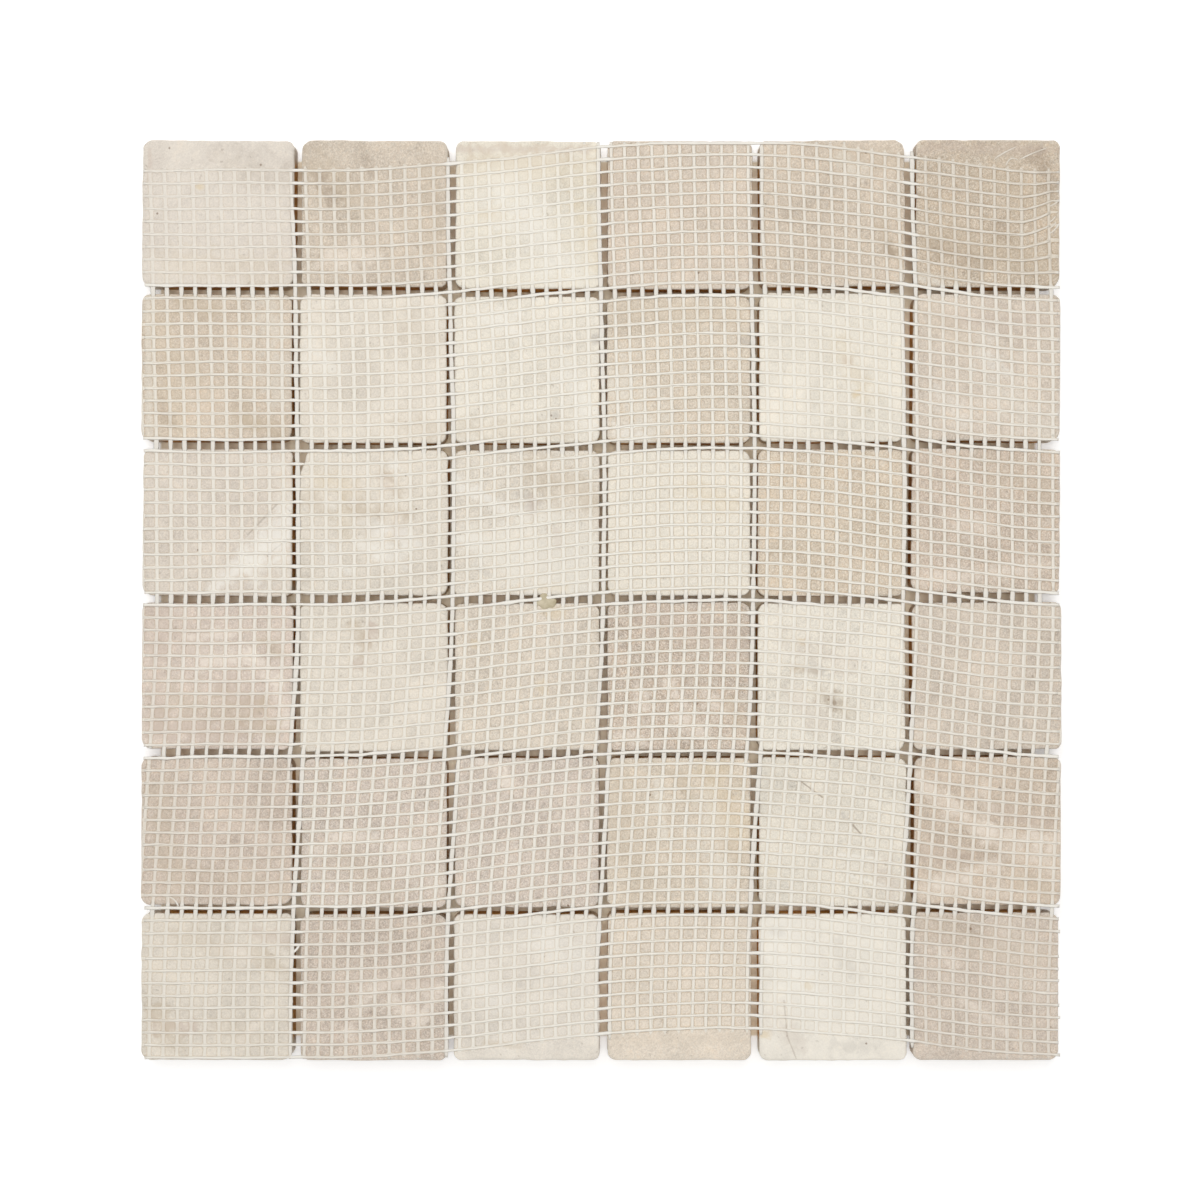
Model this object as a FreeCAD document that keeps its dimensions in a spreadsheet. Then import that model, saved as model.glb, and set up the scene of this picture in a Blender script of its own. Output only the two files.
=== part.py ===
import FreeCAD, Part
import math
import os
import Sketcher

"""Mosaic tile sheet, seen with its netted back up.

Thirty-six tumbled marble chips lie face down in six rows of six. A thin open netting is bonded
across their backs: flat warps run along Y and lie on the stone, narrower wefts run along X and
lie on the warps. The origin is at the middle of the sheet on the plane of the finished faces,
+Z points out of the netted back, and +Y is the edge that the netting reaches last.

Every chip is a square prism whose corners and arrises the tumbler has worn round. A worn edge is
cut in three narrow flats that all touch one arc. No two chips are quite alike, so each has its
own small shift, turn and spare width in LAY.
"""

doc = FreeCAD.newDocument("MosaicTileSheet")

# Driving dimensions, in millimetres.
SIZES = (
    ("tile_side", 48.3),         # a nominal two-inch chip, worn
    ("tile_thickness", 10.0),
    ("joint_width", 2.5),        # room for the grout
    ("corner_radius", 2.8),      # worn corner of a chip in plan
    ("arris_radius", 1.3),       # worn arris round both faces
    ("chip_width", 2.7),         # broken corner of one chip, along X
    ("chip_length", 7.6),        # the same, along Y
    ("tile_rows", 6),
    ("tile_columns", 6),
    ("warp_width", 1.2),
    ("weft_width", 0.8),
    ("warp_thickness", 0.22),
    ("weft_thickness", 0.2),
    ("warp_spacing", 4.49),
    ("warp_spread", 0.16),       # extra spacing where the mesh is pulled open on the left
    ("weft_spacing", 4.163),
    ("net_head", 9.75),          # bare strip above the first weft, at the left side
    ("net_foot", 1.1),           # bare strip below the last one
    ("net_edge", 0.9),           # how far a yarn stays inside the edge of the sheet
    ("warp_overhang", 2.2),      # warp beyond the outermost weft
    ("bow_rise", 9.5),           # the wefts bow upwards right of the middle
    ("bow_centre", 40.0),
    ("bow_reach", 130.0),
    ("weft_sag", 1.0),
    ("lean_head", 2.0),          # the warps lean to the left at the top
    ("lean_foot", 6.9),          # and more at the foot
)

sheet = doc.addObject("Spreadsheet::Sheet", "sizes")
for line, (alias, value) in enumerate(SIZES, start=1):
    sheet.set("A%d" % line, alias)
    sheet.set("B%d" % line, str(value))
    sheet.setAlias("B%d" % line, alias)
doc.recompute()


def size(alias):
    """Value of one driving dimension."""
    return float(sheet.get(alias))


ROWS, COLUMNS = int(size("tile_rows")), int(size("tile_columns"))
PITCH = size("tile_side") + size("joint_width")
HALF_X = (COLUMNS * PITCH - size("joint_width")) / 2
HALF_Y = (ROWS * PITCH - size("joint_width")) / 2

# How each chip lies: shift along X, shift along Y, turn in degrees, spare width, spare depth.
LAY = {
    (1, 1): (1.0, 0.2, -0.5, 1.8, 0.0), (1, 2): (1.6, 0.2, -0.3, -0.2, 0.0),
    (1, 3): (1.2, -0.3, -0.3, -0.5, 0.5), (1, 4): (0.4, -0.3, -0.2, -0.5, 0.7),
    (1, 5): (-0.3, 0.2, 0.5, -0.3, 0.0), (1, 6): (0.0, 0.2, -0.2, -0.8, 0.4),
    (2, 1): (0.5, 0.4, -0.2, 1.4, 0.1), (2, 2): (1.1, 0.0, -0.2, 0.3, 0.8),
    (2, 3): (0.9, -0.4, -0.2, -0.2, 0.1), (2, 4): (0.0, -0.3, 0.0, -0.8, 0.2),
    (2, 5): (-0.4, 0.4, -0.1, -0.1, 0.8), (2, 6): (-0.4, 0.4, -0.4, 0.4, 0.2),
    (3, 1): (0.8, 0.2, -0.5, 1.1, 0.2), (3, 2): (1.3, 0.2, -0.3, 0.8, -0.2),
    (3, 3): (0.7, 0.1, -0.2, 0.0, -0.3), (3, 4): (0.1, 0.1, 0.0, -1.1, -0.3),
    (3, 5): (-0.6, 0.1, 0.0, 0.4, 0.2), (3, 6): (-0.7, 0.8, -0.6, 0.7, -0.7),
    (4, 1): (0.7, 0.5, -0.4, 1.6, -0.1), (4, 2): (1.4, 0.1, 0.0, 0.6, 0.7),
    (4, 3): (1.0, 0.3, 0.2, -0.5, 0.3), (4, 4): (0.0, 0.4, 0.0, -1.1, 0.6),
    (4, 5): (-0.6, 0.3, -0.1, 0.5, 0.3), (4, 6): (-0.3, 0.6, 0.2, 1.0, 0.3),
    (5, 1): (0.5, 0.3, 0.0, 1.6, 0.3), (5, 2): (1.4, -0.3, -0.1, -0.2, 0.9),
    (5, 3): (0.9, -0.1, -0.1, -0.7, 1.0), (5, 4): (0.0, -0.2, 0.0, -0.8, 1.2),
    (5, 5): (-0.2, 0.1, -0.2, 0.4, 1.0), (5, 6): (-0.1, 0.5, -0.1, 0.2, 0.5),
    (6, 1): (0.6, 0.0, -0.1, 1.7, 0.1), (6, 2): (1.3, -0.2, 0.0, 0.1, 0.0),
    (6, 3): (0.8, -0.2, 0.0, -0.1, -0.1), (6, 4): (0.2, 0.0, 0.0, -0.9, 0.3),
    (6, 5): (-0.2, -0.1, 0.3, 0.4, 0.2), (6, 6): (-0.7, 0.1, -0.2, -0.3, 0.5),
}
BROKEN_CORNER = (3, 2)

# Legs of the cuts that leave three flats on an edge, as shares of the arc's radius.
MAIN_CUT = 2 - math.sqrt(2)
EASING_CUT = math.tan(math.pi / 8) - math.tan(math.pi / 16)


def origin_plane(body, role):
    """One of the body's own reference planes."""
    return next(feature for feature in body.Origin.OriginFeatures if feature.Role == role)


def edge_names(shape, chosen):
    """Names of the straight edges that the test picks by their two ends."""
    return ["Edge%d" % number for number, edge in enumerate(shape.Edges, start=1)
            if chosen(*(vertex.Point for vertex in edge.Vertexes))]


def upright(start, end):
    """Whether an edge runs straight up."""
    return math.hypot(start.x - end.x, start.y - end.y) < 1e-6


def level(start, end):
    """Whether an edge keeps to one height."""
    return abs(start.z - end.z) < 1e-6


def chip_sketch(body, spare_width, spare_depth):
    """Rectangle about the origin with the chip's own sides."""
    sketch = body.newObject("Sketcher::SketchObject", "outline")
    sketch.AttachmentSupport = [(origin_plane(body, "XY_Plane"), "")]
    sketch.MapMode = "FlatFace"
    x, y = size("tile_side") / 2, size("tile_side") / 2
    corners = [FreeCAD.Vector(*point, 0) for point in ((-x, -y), (x, -y), (x, y), (-x, y))]
    for number in range(4):
        sketch.addGeometry(Part.LineSegment(corners[number], corners[(number + 1) % 4]), False)
    for number in range(4):
        sketch.addConstraint(Sketcher.Constraint("Coincident", number, 2, (number + 1) % 4, 1))
    for number, kind in enumerate(("Horizontal", "Vertical", "Horizontal", "Vertical")):
        sketch.addConstraint(Sketcher.Constraint(kind, number))
    sketch.addConstraint(Sketcher.Constraint("Symmetric", 0, 1, 1, 2, -1, 1))
    for name, kind, line, spare in (("width", "DistanceX", 0, spare_width),
                                    ("depth", "DistanceY", 1, spare_depth)):
        mark = sketch.addConstraint(
            Sketcher.Constraint(kind, line, 1, line, 2, size("tile_side") + spare))
        sketch.renameConstraint(mark, name)
        sketch.setExpression("Constraints." + name, "sizes.tile_side + %.2f" % spare)
    return sketch


def cut(body, base, name, chosen, leg):
    """Flat of equal legs along the picked edges."""
    flat = body.newObject("PartDesign::Chamfer", name)
    flat.Base = (base, edge_names(base.Shape, chosen))
    flat.setExpression("Size", leg)
    doc.recompute()
    return flat


def chip(row, column):
    """One tumbled chip, lying face down, at its place in the sheet."""
    shift_x, shift_y, turn, spare_width, spare_depth = LAY.get((row, column), (0, 0, 0, 0, 0))
    body = doc.addObject("PartDesign::Body", "chip_%d_%d" % (row, column))
    body.Label = "tile_r%d_c%d" % (row, column)
    stone = body.newObject("PartDesign::Pad", "stone")
    stone.Profile = chip_sketch(body, spare_width, spare_depth)
    stone.setExpression("Length", "sizes.tile_thickness")
    doc.recompute()

    def broken(start, end):
        """Whether this upright edge is the one that has broken off."""
        return (row, column) == BROKEN_CORNER and start.x < 0 < start.y

    corners = cut(body, stone, "corners",
                  lambda start, end: upright(start, end) and not broken(start, end),
                  "sizes.corner_radius * %r" % MAIN_CUT)
    if (row, column) == BROKEN_CORNER:
        breakage = body.newObject("PartDesign::Chamfer", "broken_corner")
        breakage.Base = (corners, edge_names(
            corners.Shape, lambda start, end: upright(start, end) and broken(start, end)
            and abs(start.x + start.y) < size("tile_side") / 50))
        breakage.ChamferType = "Two distances"
        breakage.setExpression("Size", "sizes.chip_width")
        breakage.setExpression("Size2", "sizes.chip_length")
        doc.recompute()
        corners = breakage
    corners = cut(body, corners, "eased_corners", upright, "sizes.corner_radius * %r" % EASING_CUT)
    arrises = cut(body, corners, "arrises", level, "sizes.arris_radius * %r" % MAIN_CUT)
    body.Tip = cut(body, arrises, "eased_arrises", level, "sizes.arris_radius * %r" % EASING_CUT)
    body.Placement = FreeCAD.Placement(
        FreeCAD.Vector((column - (COLUMNS + 1) / 2) * PITCH + shift_x,
                       ((ROWS + 1) / 2 - row) * PITCH + shift_y, 0),
        FreeCAD.Rotation(FreeCAD.Vector(0, 0, 1), turn))
    return body


def ease(share):
    """Smooth step from nought to one."""
    share = min(max(share, 0.0), 1.0)
    return share * share * (3 - 2 * share)


def bow(x):
    """How far a weft is pulled up at this x."""
    away = (x - size("bow_centre")) / size("bow_reach")
    return size("bow_rise") * math.cos(away * math.pi / 2) ** 2 if abs(away) < 1 else 0.0


def weft_y(number, count, x):
    """Height of a weft in the sheet at this x, numbered from the top."""
    level = HALF_Y - size("net_head") - number * size("weft_spacing")
    level -= size("weft_sag") * math.sin(math.pi * number / (count - 1))
    return min(level + bow(x), HALF_Y - size("net_edge"))


def warp_x(number, y):
    """Place across the sheet of a warp at this y, numbered from the middle one."""
    crowd = size("warp_spacing") * number + size("warp_spread") * min(number + 10, 0)
    lean = size("lean_head") * ease((y - HALF_Y / 3) / (0.73 * HALF_Y))
    lean += size("lean_foot") * ease((0.08 * HALF_Y - y) / (0.98 * HALF_Y))
    return 0.5 + crowd - lean * (1 - crowd / 2000)


WEFTS = 1 + int((2 * HALF_Y - size("net_head") - size("net_foot")) / size("weft_spacing"))


def warp_span(number):
    """Lowest and highest y of a warp inside the edges of the sheet, or None."""
    top = min(weft_y(0, WEFTS, warp_x(number, HALF_Y)) + size("warp_overhang"),
              HALF_Y - size("net_edge") / 2)
    foot = max(weft_y(WEFTS - 1, WEFTS, warp_x(number, -HALF_Y)) - size("warp_overhang"),
               size("net_edge") / 2 - HALF_Y)
    steps = [foot + (top - foot) * step / 200 for step in range(201)]
    inside = [y for y in steps if abs(warp_x(number, y)) < HALF_X - size("net_edge")]
    return (inside[0], inside[-1]) if len(inside) > 20 else None


def ribbon(path, width):
    """Flat face of a yarn along a path of points in plan."""
    left, right = [], []
    for place, point in enumerate(path):
        before, after = path[max(place - 1, 0)], path[min(place + 1, len(path) - 1)]
        along = (after - before).normalize()
        side = FreeCAD.Vector(-along.y, along.x, 0) * (width / 2)
        left.append(point + side)
        right.append(point - side)
    return Part.Face(Part.makePolygon(left + right[::-1] + left[:1]))


def yarns(label, faces, thickness, base):
    """Yarns of one strip of the netting, given their thickness."""
    outline = doc.addObject("Part::Feature", label + "_outline")
    outline.Shape = Part.makeCompound(faces)
    strip = doc.addObject("Part::Extrusion", label)
    strip.Label = label
    strip.Base = outline
    strip.DirMode = "Custom"
    strip.Dir = FreeCAD.Vector(0, 0, 1)
    strip.Solid = True
    strip.setExpression("LengthFwd", "sizes." + thickness)
    strip.setExpression("Placement.Base.z", base)
    return strip


def warps():
    """Six strips of warps, one over each column of chips."""
    strips = {column: [] for column in range(1, COLUMNS + 1)}
    reach = int(HALF_X / size("warp_spacing")) + 3
    for number in range(-reach, reach + 1):
        span = warp_span(number)
        if span is None:
            continue
        foot, top = span
        bends = [y for y in (-0.73 * HALF_Y, 0.1 * HALF_Y) if foot + 5 < y < top - 5]
        path = [FreeCAD.Vector(warp_x(number, y), y, 0) for y in [foot] + bends + [top]]
        column = 1 + int((warp_x(number, 0) + HALF_X + size("joint_width") / 2) / PITCH)
        strips[min(max(column, 1), COLUMNS)].append(ribbon(path, size("warp_width")))
    return [yarns("warps_c%d" % column, faces, "warp_thickness", "sizes.tile_thickness")
            for column, faces in strips.items()]


def wefts():
    """Six strips of wefts, one over each row of chips, from edge to edge of the sheet."""
    strips = {row: [] for row in range(1, ROWS + 1)}
    edge = HALF_X - size("net_edge") / 2
    bends = [size("bow_centre") + size("bow_reach") * share for share in (-0.96, -0.54, -0.1, 0.4)]
    places = [-edge] + [x for x in bends if abs(x) < edge - 5] + [edge]
    for number in range(WEFTS):
        path = [FreeCAD.Vector(x, weft_y(number, WEFTS, x), 0) for x in places]
        row = 1 + int(number * ROWS / WEFTS)
        strips[row].append(ribbon(path, size("weft_width")))
    return [yarns("wefts_r%d" % row, faces, "weft_thickness",
                  "sizes.tile_thickness + sizes.warp_thickness")
            for row, faces in strips.items()]


pieces = [chip(row, column) for row in range(1, ROWS + 1) for column in range(1, COLUMNS + 1)]
pieces += warps() + wefts()
doc.recompute()

for item in doc.Objects:
    if "Invalid" in item.State or "Error" in item.State:
        raise RuntimeError("%s did not build: %s" % (item.Label, item.State))
for piece in pieces:
    if piece.Shape.isNull() or not piece.Shape.isValid() or not piece.Shape.Solids:
        raise RuntimeError("%s has no sound solid" % piece.Label)

os.makedirs("parts", exist_ok=True)
for piece in pieces:
    piece.Shape.exportStep("parts/%s.step" % piece.Label)
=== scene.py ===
"""Looks of a mosaic tile sheet, built round its solid model.

The sheet lies face down: thirty-six tumbled marble chips in six rows of six, with an open
netting glued across their backs. Every chip gets a worn, slightly uneven surface and its own
stone, and the netting gets its real yarns, which wander a little as the glue held them.

Lengths are millimetres in the frame of the solid model, and turn into metres when a mesh is
made. +X is to the right and +Y is up, as the netted back is seen from above.
"""

import logging
import math
from dataclasses import dataclass, field
from enum import Enum
from typing import Any, Mapping, Sequence, Union

import bpy
import numpy as np
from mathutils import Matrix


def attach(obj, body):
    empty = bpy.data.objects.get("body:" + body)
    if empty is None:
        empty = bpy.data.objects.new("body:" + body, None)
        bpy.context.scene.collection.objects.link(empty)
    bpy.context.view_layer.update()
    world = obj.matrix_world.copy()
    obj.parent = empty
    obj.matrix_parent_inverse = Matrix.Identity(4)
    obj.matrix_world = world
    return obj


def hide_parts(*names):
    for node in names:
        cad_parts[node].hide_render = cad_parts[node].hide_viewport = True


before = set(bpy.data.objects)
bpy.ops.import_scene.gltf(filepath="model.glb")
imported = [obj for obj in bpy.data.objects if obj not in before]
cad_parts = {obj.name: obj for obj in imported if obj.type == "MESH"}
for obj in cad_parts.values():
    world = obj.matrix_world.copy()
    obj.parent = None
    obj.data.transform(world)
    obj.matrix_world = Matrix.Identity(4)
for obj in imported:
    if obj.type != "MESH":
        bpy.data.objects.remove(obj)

log = logging.getLogger("tile_sheet")
MM = 0.001
BODY = "root"
Array = np.ndarray
Colour = tuple[float, float, float]


def linear(red: int, green: int, blue: int) -> Colour:
    """Linear colour of an sRGB one given from 0 to 255."""
    return tuple(c / 12.92 if c <= 0.04045 else ((c + 0.055) / 1.055) ** 2.4
                 for c in (red / 255, green / 255, blue / 255))


def ease(share: Array) -> Array:
    """Smooth step from nought to one."""
    share = np.clip(share, 0.0, 1.0)
    return share * share * (3 - 2 * share)


class Tone(Enum):
    """Colours of the marble, each with its material slot and its plain colour."""

    IVORY = ("marble_ivory", linear(231, 223, 208))
    CREAM = ("marble_cream", linear(224, 214, 199))
    SAND = ("marble_sand", linear(215, 201, 182))
    ROSE_TAN = ("marble_rose_tan", linear(212, 196, 180))
    TAN = ("marble_tan", linear(207, 190, 170))

    @property
    def slot(self) -> str:
        """Material slot of the tone."""
        return self.value[0]

    @property
    def colour(self) -> Colour:
        """Linear colour of the tone."""
        return self.value[1]


class Undertone(Enum):
    """Shades that one stone's colour leans towards, as factors of red, green and blue."""

    PLAIN = (1.0, 1.0, 1.0)
    HONEY = (1.01, 1.0, 0.97)
    ROSY = (1.01, 0.99, 0.985)
    OLIVE = (0.99, 1.0, 0.985)
    LILAC = (1.0, 0.99, 1.015)
    ASH = (0.99, 1.0, 1.025)
    SLATE = (0.985, 1.0, 1.06)
    MOSS = (0.97, 1.01, 1.01)


class Stain(Enum):
    """Kinds of marking in the stone, each with its linear colour."""

    PALE = linear(240, 235, 223)
    WHITE = linear(246, 242, 233)
    MILK = linear(247, 236, 222)
    ROSY = linear(203, 185, 170)
    TAWNY = linear(199, 182, 158)
    GREY = linear(186, 179, 170)
    OCHRE = linear(222, 202, 166)
    BROWN = linear(116, 86, 58)
    CRACK = linear(160, 144, 126)


@dataclass(frozen=True)
class Marking:
    """Soft stroke of another colour between two points, or a spot where they are the same.

    The points are counted from the middle of the chip. The stroke fades out towards its width,
    which grows by the spread from its start to its end.
    """

    stain: Stain
    start: tuple[float, float]
    end: tuple[float, float]
    width: float
    strength: float = 0.5
    spread: float = 1.0
    soft: float = 0.8
    ragged: float = 0.35

    def covers(self, points: Array) -> Array:
        """How far the marking covers places on the chip.

        Args:
            points: Places counted from the middle of the chip.

        Returns:
            A share for each, without the fraying.
        """
        start, run = np.array(self.start), np.subtract(self.end, self.start)
        length = math.hypot(*run) or 1.0
        share = np.clip((points - start) @ run / length ** 2, 0, 1)
        width = self.width * (1 + share * (self.spread - 1))
        across = np.linalg.norm(points - start - share[:, None] * run, axis=1) / width
        return ease((1 - across) / self.soft) * self.strength


def spot(stain: Stain, x: float, y: float, size: float) -> Marking:
    """Small spot with a clear edge."""
    return Marking(stain, (x, y), (x, y), size, 0.8, soft=0.6, ragged=0.2)


def streak(stain: Stain, x: float, y: float, to_x: float, to_y: float, width: float,
           strength: float) -> Marking:
    """Vein or crack between two points."""
    return Marking(stain, (x, y), (to_x, to_y), width, strength, ragged=0.5)


def patch(stain: Stain, x: float, y: float, to_x: float, to_y: float, width: float,
          strength: float) -> Marking:
    """Cloudy patch along a line."""
    return Marking(stain, (x, y), (to_x, to_y), width, strength, soft=1.0, ragged=0.9)


def wedge(stain: Stain, x: float, y: float, to_x: float, to_y: float, width: float,
          strength: float) -> Marking:
    """Cloudy patch that widens to three times its first width."""
    return Marking(stain, (x, y), (to_x, to_y), width, strength, spread=3.0, ragged=0.5)


@dataclass(frozen=True)
class StoneFinish:
    """How one chip's stone looks.

    glue is how deep the yarns lie in glue, and film how far the film beside them hides the stone.
    """

    tone: Tone
    undertone: Undertone = Undertone.PLAIN
    shade: float = 1.0
    clouds: float = 0.26
    mottle: float = 0.16
    grain: float = 0.3
    glue: float = 0.5
    film: float = 0.7
    markings: tuple[Marking, ...] = ()

    @property
    def colour(self) -> Colour:
        """Linear colour of the tone with its undertone."""
        return tuple(a * b for a, b in zip(self.tone.colour, self.undertone.value))


class YarnFinish(Enum):
    """Finishes of the yarns: duller and brighter colour of the dry fibre, and a share of pale white
    on the bonded yarn. The wefts, which lie over the warps, are a brighter copy of the same fibre:
    painted highlight.
    """

    WARP = (linear(218, 212, 202), linear(239, 234, 224), 0.03)
    WEFT = (linear(227, 222, 212), linear(249, 245, 236), 0.2)


GLUE_COLOUR = linear(241, 236, 224)

Value = Union["Term", float]


class Term:
    """A shader socket that the operators of Python combine by Math nodes."""

    def __init__(self, shader: "Shader", socket: bpy.types.NodeSocket) -> None:
        """Keep the socket and the shader that it is in."""
        self.shader = shader
        self.socket = socket

    def __add__(self, other: Value) -> "Term":
        """Sum."""
        return self.shader.maths("ADD", self, other)

    def __radd__(self, other: Value) -> "Term":
        """Sum, from the right."""
        return self.shader.maths("ADD", other, self)

    def __sub__(self, other: Value) -> "Term":
        """Difference."""
        return self.shader.maths("SUBTRACT", self, other)

    def __rsub__(self, other: Value) -> "Term":
        """Difference, from the right."""
        return self.shader.maths("SUBTRACT", other, self)

    def __mul__(self, other: Value) -> "Term":
        """Product."""
        return self.shader.maths("MULTIPLY", self, other)

    def __rmul__(self, other: Value) -> "Term":
        """Product, from the right."""
        return self.shader.maths("MULTIPLY", other, self)

    def __truediv__(self, other: Value) -> "Term":
        """Quotient."""
        return self.shader.maths("DIVIDE", self, other)

    def __pow__(self, other: Value) -> "Term":
        """Power."""
        return self.shader.maths("POWER", self, other)


class Shader:
    """Node tree of one material, written as expressions on its terms."""

    def __init__(self, name: str) -> None:
        """Start an empty material.

        Args:
            name: Name of the material.
        """
        self.material = bpy.data.materials.new(name)
        self.material.use_nodes = True
        self.tree = self.material.node_tree
        self.tree.nodes.clear()

    def add(self, kind: str, settings: Mapping[str, Any], sockets: Mapping[Any, Any],
            out: Union[int, str] = 0) -> Term:
        """Add one node.

        Args:
            kind: Type of the node, without the words ShaderNode at its front.
            settings: Properties of the node, which are set first; stops are those of a ramp.
            sockets: Values or terms for its inputs, by name or number.
            out: Output to return, by name or number.

        Returns:
            The chosen output as a term.
        """
        node = self.tree.nodes.new("ShaderNode" + kind)
        for name, value in settings.items():
            if name == "stops":
                for place, (position, colour) in enumerate(value):
                    stop = (node.color_ramp.elements[place] if place < 2
                            else node.color_ramp.elements.new(position))
                    stop.position = position
                    stop.color = colour
            else:
                setattr(node, name, value)
        for name, value in sockets.items():
            if isinstance(value, Term):
                self.tree.links.new(value.socket, node.inputs[name])
            else:
                node.inputs[name].default_value = value
        return Term(self, node.outputs[out])

    def maths(self, operation: str, *values: Value) -> Term:
        """Math node of an operation on values."""
        return self.add("Math", {"operation": operation}, dict(enumerate(values)))

    def vector(self, operation: str, *values: Any, **sockets: Value) -> Term:
        """Vector Math node of an operation on colours or places."""
        return self.add("VectorMath", {"operation": operation}, {**dict(enumerate(values)),
                                                                 **sockets})

    def step(self, value: Term, low: float, high: float) -> Term:
        """Smooth step of a term: nought at low, one at high, whichever is larger."""
        if low > high:
            return 1 - self.step(value, high, low)
        return self.add("MapRange", {"interpolation_type": "SMOOTHSTEP"},
                        {"Value": value, "From Min": low, "From Max": high})

    def mix(self, factor: Value, first: Any, second: Any, blend: str = "MIX") -> Term:
        """Mix of two colours.

        Args:
            factor: Share of the second colour.
            first: Colour at nought, a term or linear numbers.
            second: Colour at one, the same.
            blend: How they are blended.

        Returns:
            The mixed colour.
        """
        first, second = (c if isinstance(c, Term) else (*c, 1.0) for c in (first, second))
        return self.add("Mix", {"data_type": "RGBA", "blend_type": blend},
                        {0: factor, 6: first, 7: second}, 2)

    def noise(self, vector: Term, size: float, detail: float = 3.0, roughness: float = 0.5,
              distortion: float = 0.0) -> Term:
        """Noise with features of a size in millimetres, on a vector in metres.

        Args:
            vector: Where the noise is read.
            size: Length of its largest features.
            detail: Number of finer layers.
            roughness: Weight of each finer layer.
            distortion: How far the noise is warped.

        Returns:
            A value about one half.
        """
        return self.add("TexNoise", {}, {"Vector": vector, "Scale": 1 / (size * MM),
                                         "Detail": detail, "Roughness": roughness,
                                         "Distortion": distortion})

    def surface(self, sockets: Mapping[str, Any], height: Term) -> bpy.types.Material:
        """Finish the material as one Principled surface.

        Args:
            sockets: Inputs of the Principled node.
            height: Relief in millimetres.

        Returns:
            The material.
        """
        bump = self.add("Bump", {}, {"Height": height, "Strength": 1.0, "Distance": MM})
        shown = self.add("BsdfPrincipled", {}, {**sockets, "Normal": bump})
        self.add_output(shown)
        return self.material

    def add_output(self, shown: Term) -> None:
        """Send a shader to the material's surface."""
        output = self.tree.nodes.new("ShaderNodeOutputMaterial")
        self.tree.links.new(shown.socket, output.inputs["Surface"])


@dataclass
class Surface:
    """Points and faces of one closed surface, with values that its materials read."""

    points: Array
    faces: list[Array] = field(default_factory=list)
    corners: dict[str, list[Array]] = field(default_factory=dict)
    values: dict[str, Array] = field(default_factory=dict)

    def joined(self, others: Sequence["Surface"]) -> "Surface":
        """This surface and others as one.

        Args:
            others: Surfaces with the same kinds of values.

        Returns:
            One surface.
        """
        parts = [self, *others]
        starts = np.cumsum([0] + [len(part.points) for part in parts])
        return Surface(
            np.vstack([part.points for part in parts]),
            [block + start for part, start in zip(parts, starts) for block in part.faces],
            {name: [block for part in parts for block in part.corners[name]]
             for name in self.corners},
            {name: np.concatenate([part.values[name] for part in parts]) for name in self.values})

    def make(self, name: str, material: bpy.types.Material, slot: str) -> bpy.types.Object:
        """Make the surface a piece of the sheet.

        Args:
            name: Name of the piece.
            material: Its material.
            slot: Material slot that the finish belongs to; not used.

        Returns:
            The piece, which rides on the sheet's only body.
        """
        mesh = bpy.data.meshes.new(name)
        counts = np.concatenate([np.full(len(block), block.shape[1]) for block in self.faces])
        corners = np.concatenate([block.ravel() for block in self.faces])
        mesh.vertices.add(len(self.points))
        mesh.vertices.foreach_set("co", (self.points * MM).astype(np.float32).ravel())
        mesh.loops.add(len(corners))
        mesh.loops.foreach_set("vertex_index", corners.astype(np.int32))
        mesh.polygons.add(len(counts))
        starts = np.concatenate([[0], np.cumsum(counts)[:-1]]).astype(np.int32)
        mesh.polygons.foreach_set("loop_start", starts)
        mesh.polygons.foreach_set("use_smooth", np.ones(len(counts), bool))
        mesh.update(calc_edges=True)
        for layer, blocks in self.corners.items():
            flat = np.concatenate([block.reshape(-1, 2) for block in blocks])
            mesh.uv_layers.new(name=layer).data.foreach_set("uv", flat.astype(np.float32).ravel())
        for layer, values in self.values.items():
            kind = "FLOAT" if values.ndim == 1 else "FLOAT_COLOR"
            attribute = mesh.attributes.new(layer, kind, "POINT")
            attribute.data.foreach_set("value" if values.ndim == 1 else "color",
                                       values.astype(np.float32).ravel())
        mesh.validate()
        mesh.materials.append(material)
        piece = bpy.data.objects.new(name, mesh)
        bpy.context.scene.collection.objects.link(piece)
        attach(piece, BODY)
        log.info("%s: %d faces", name, len(counts))
        return piece


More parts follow.
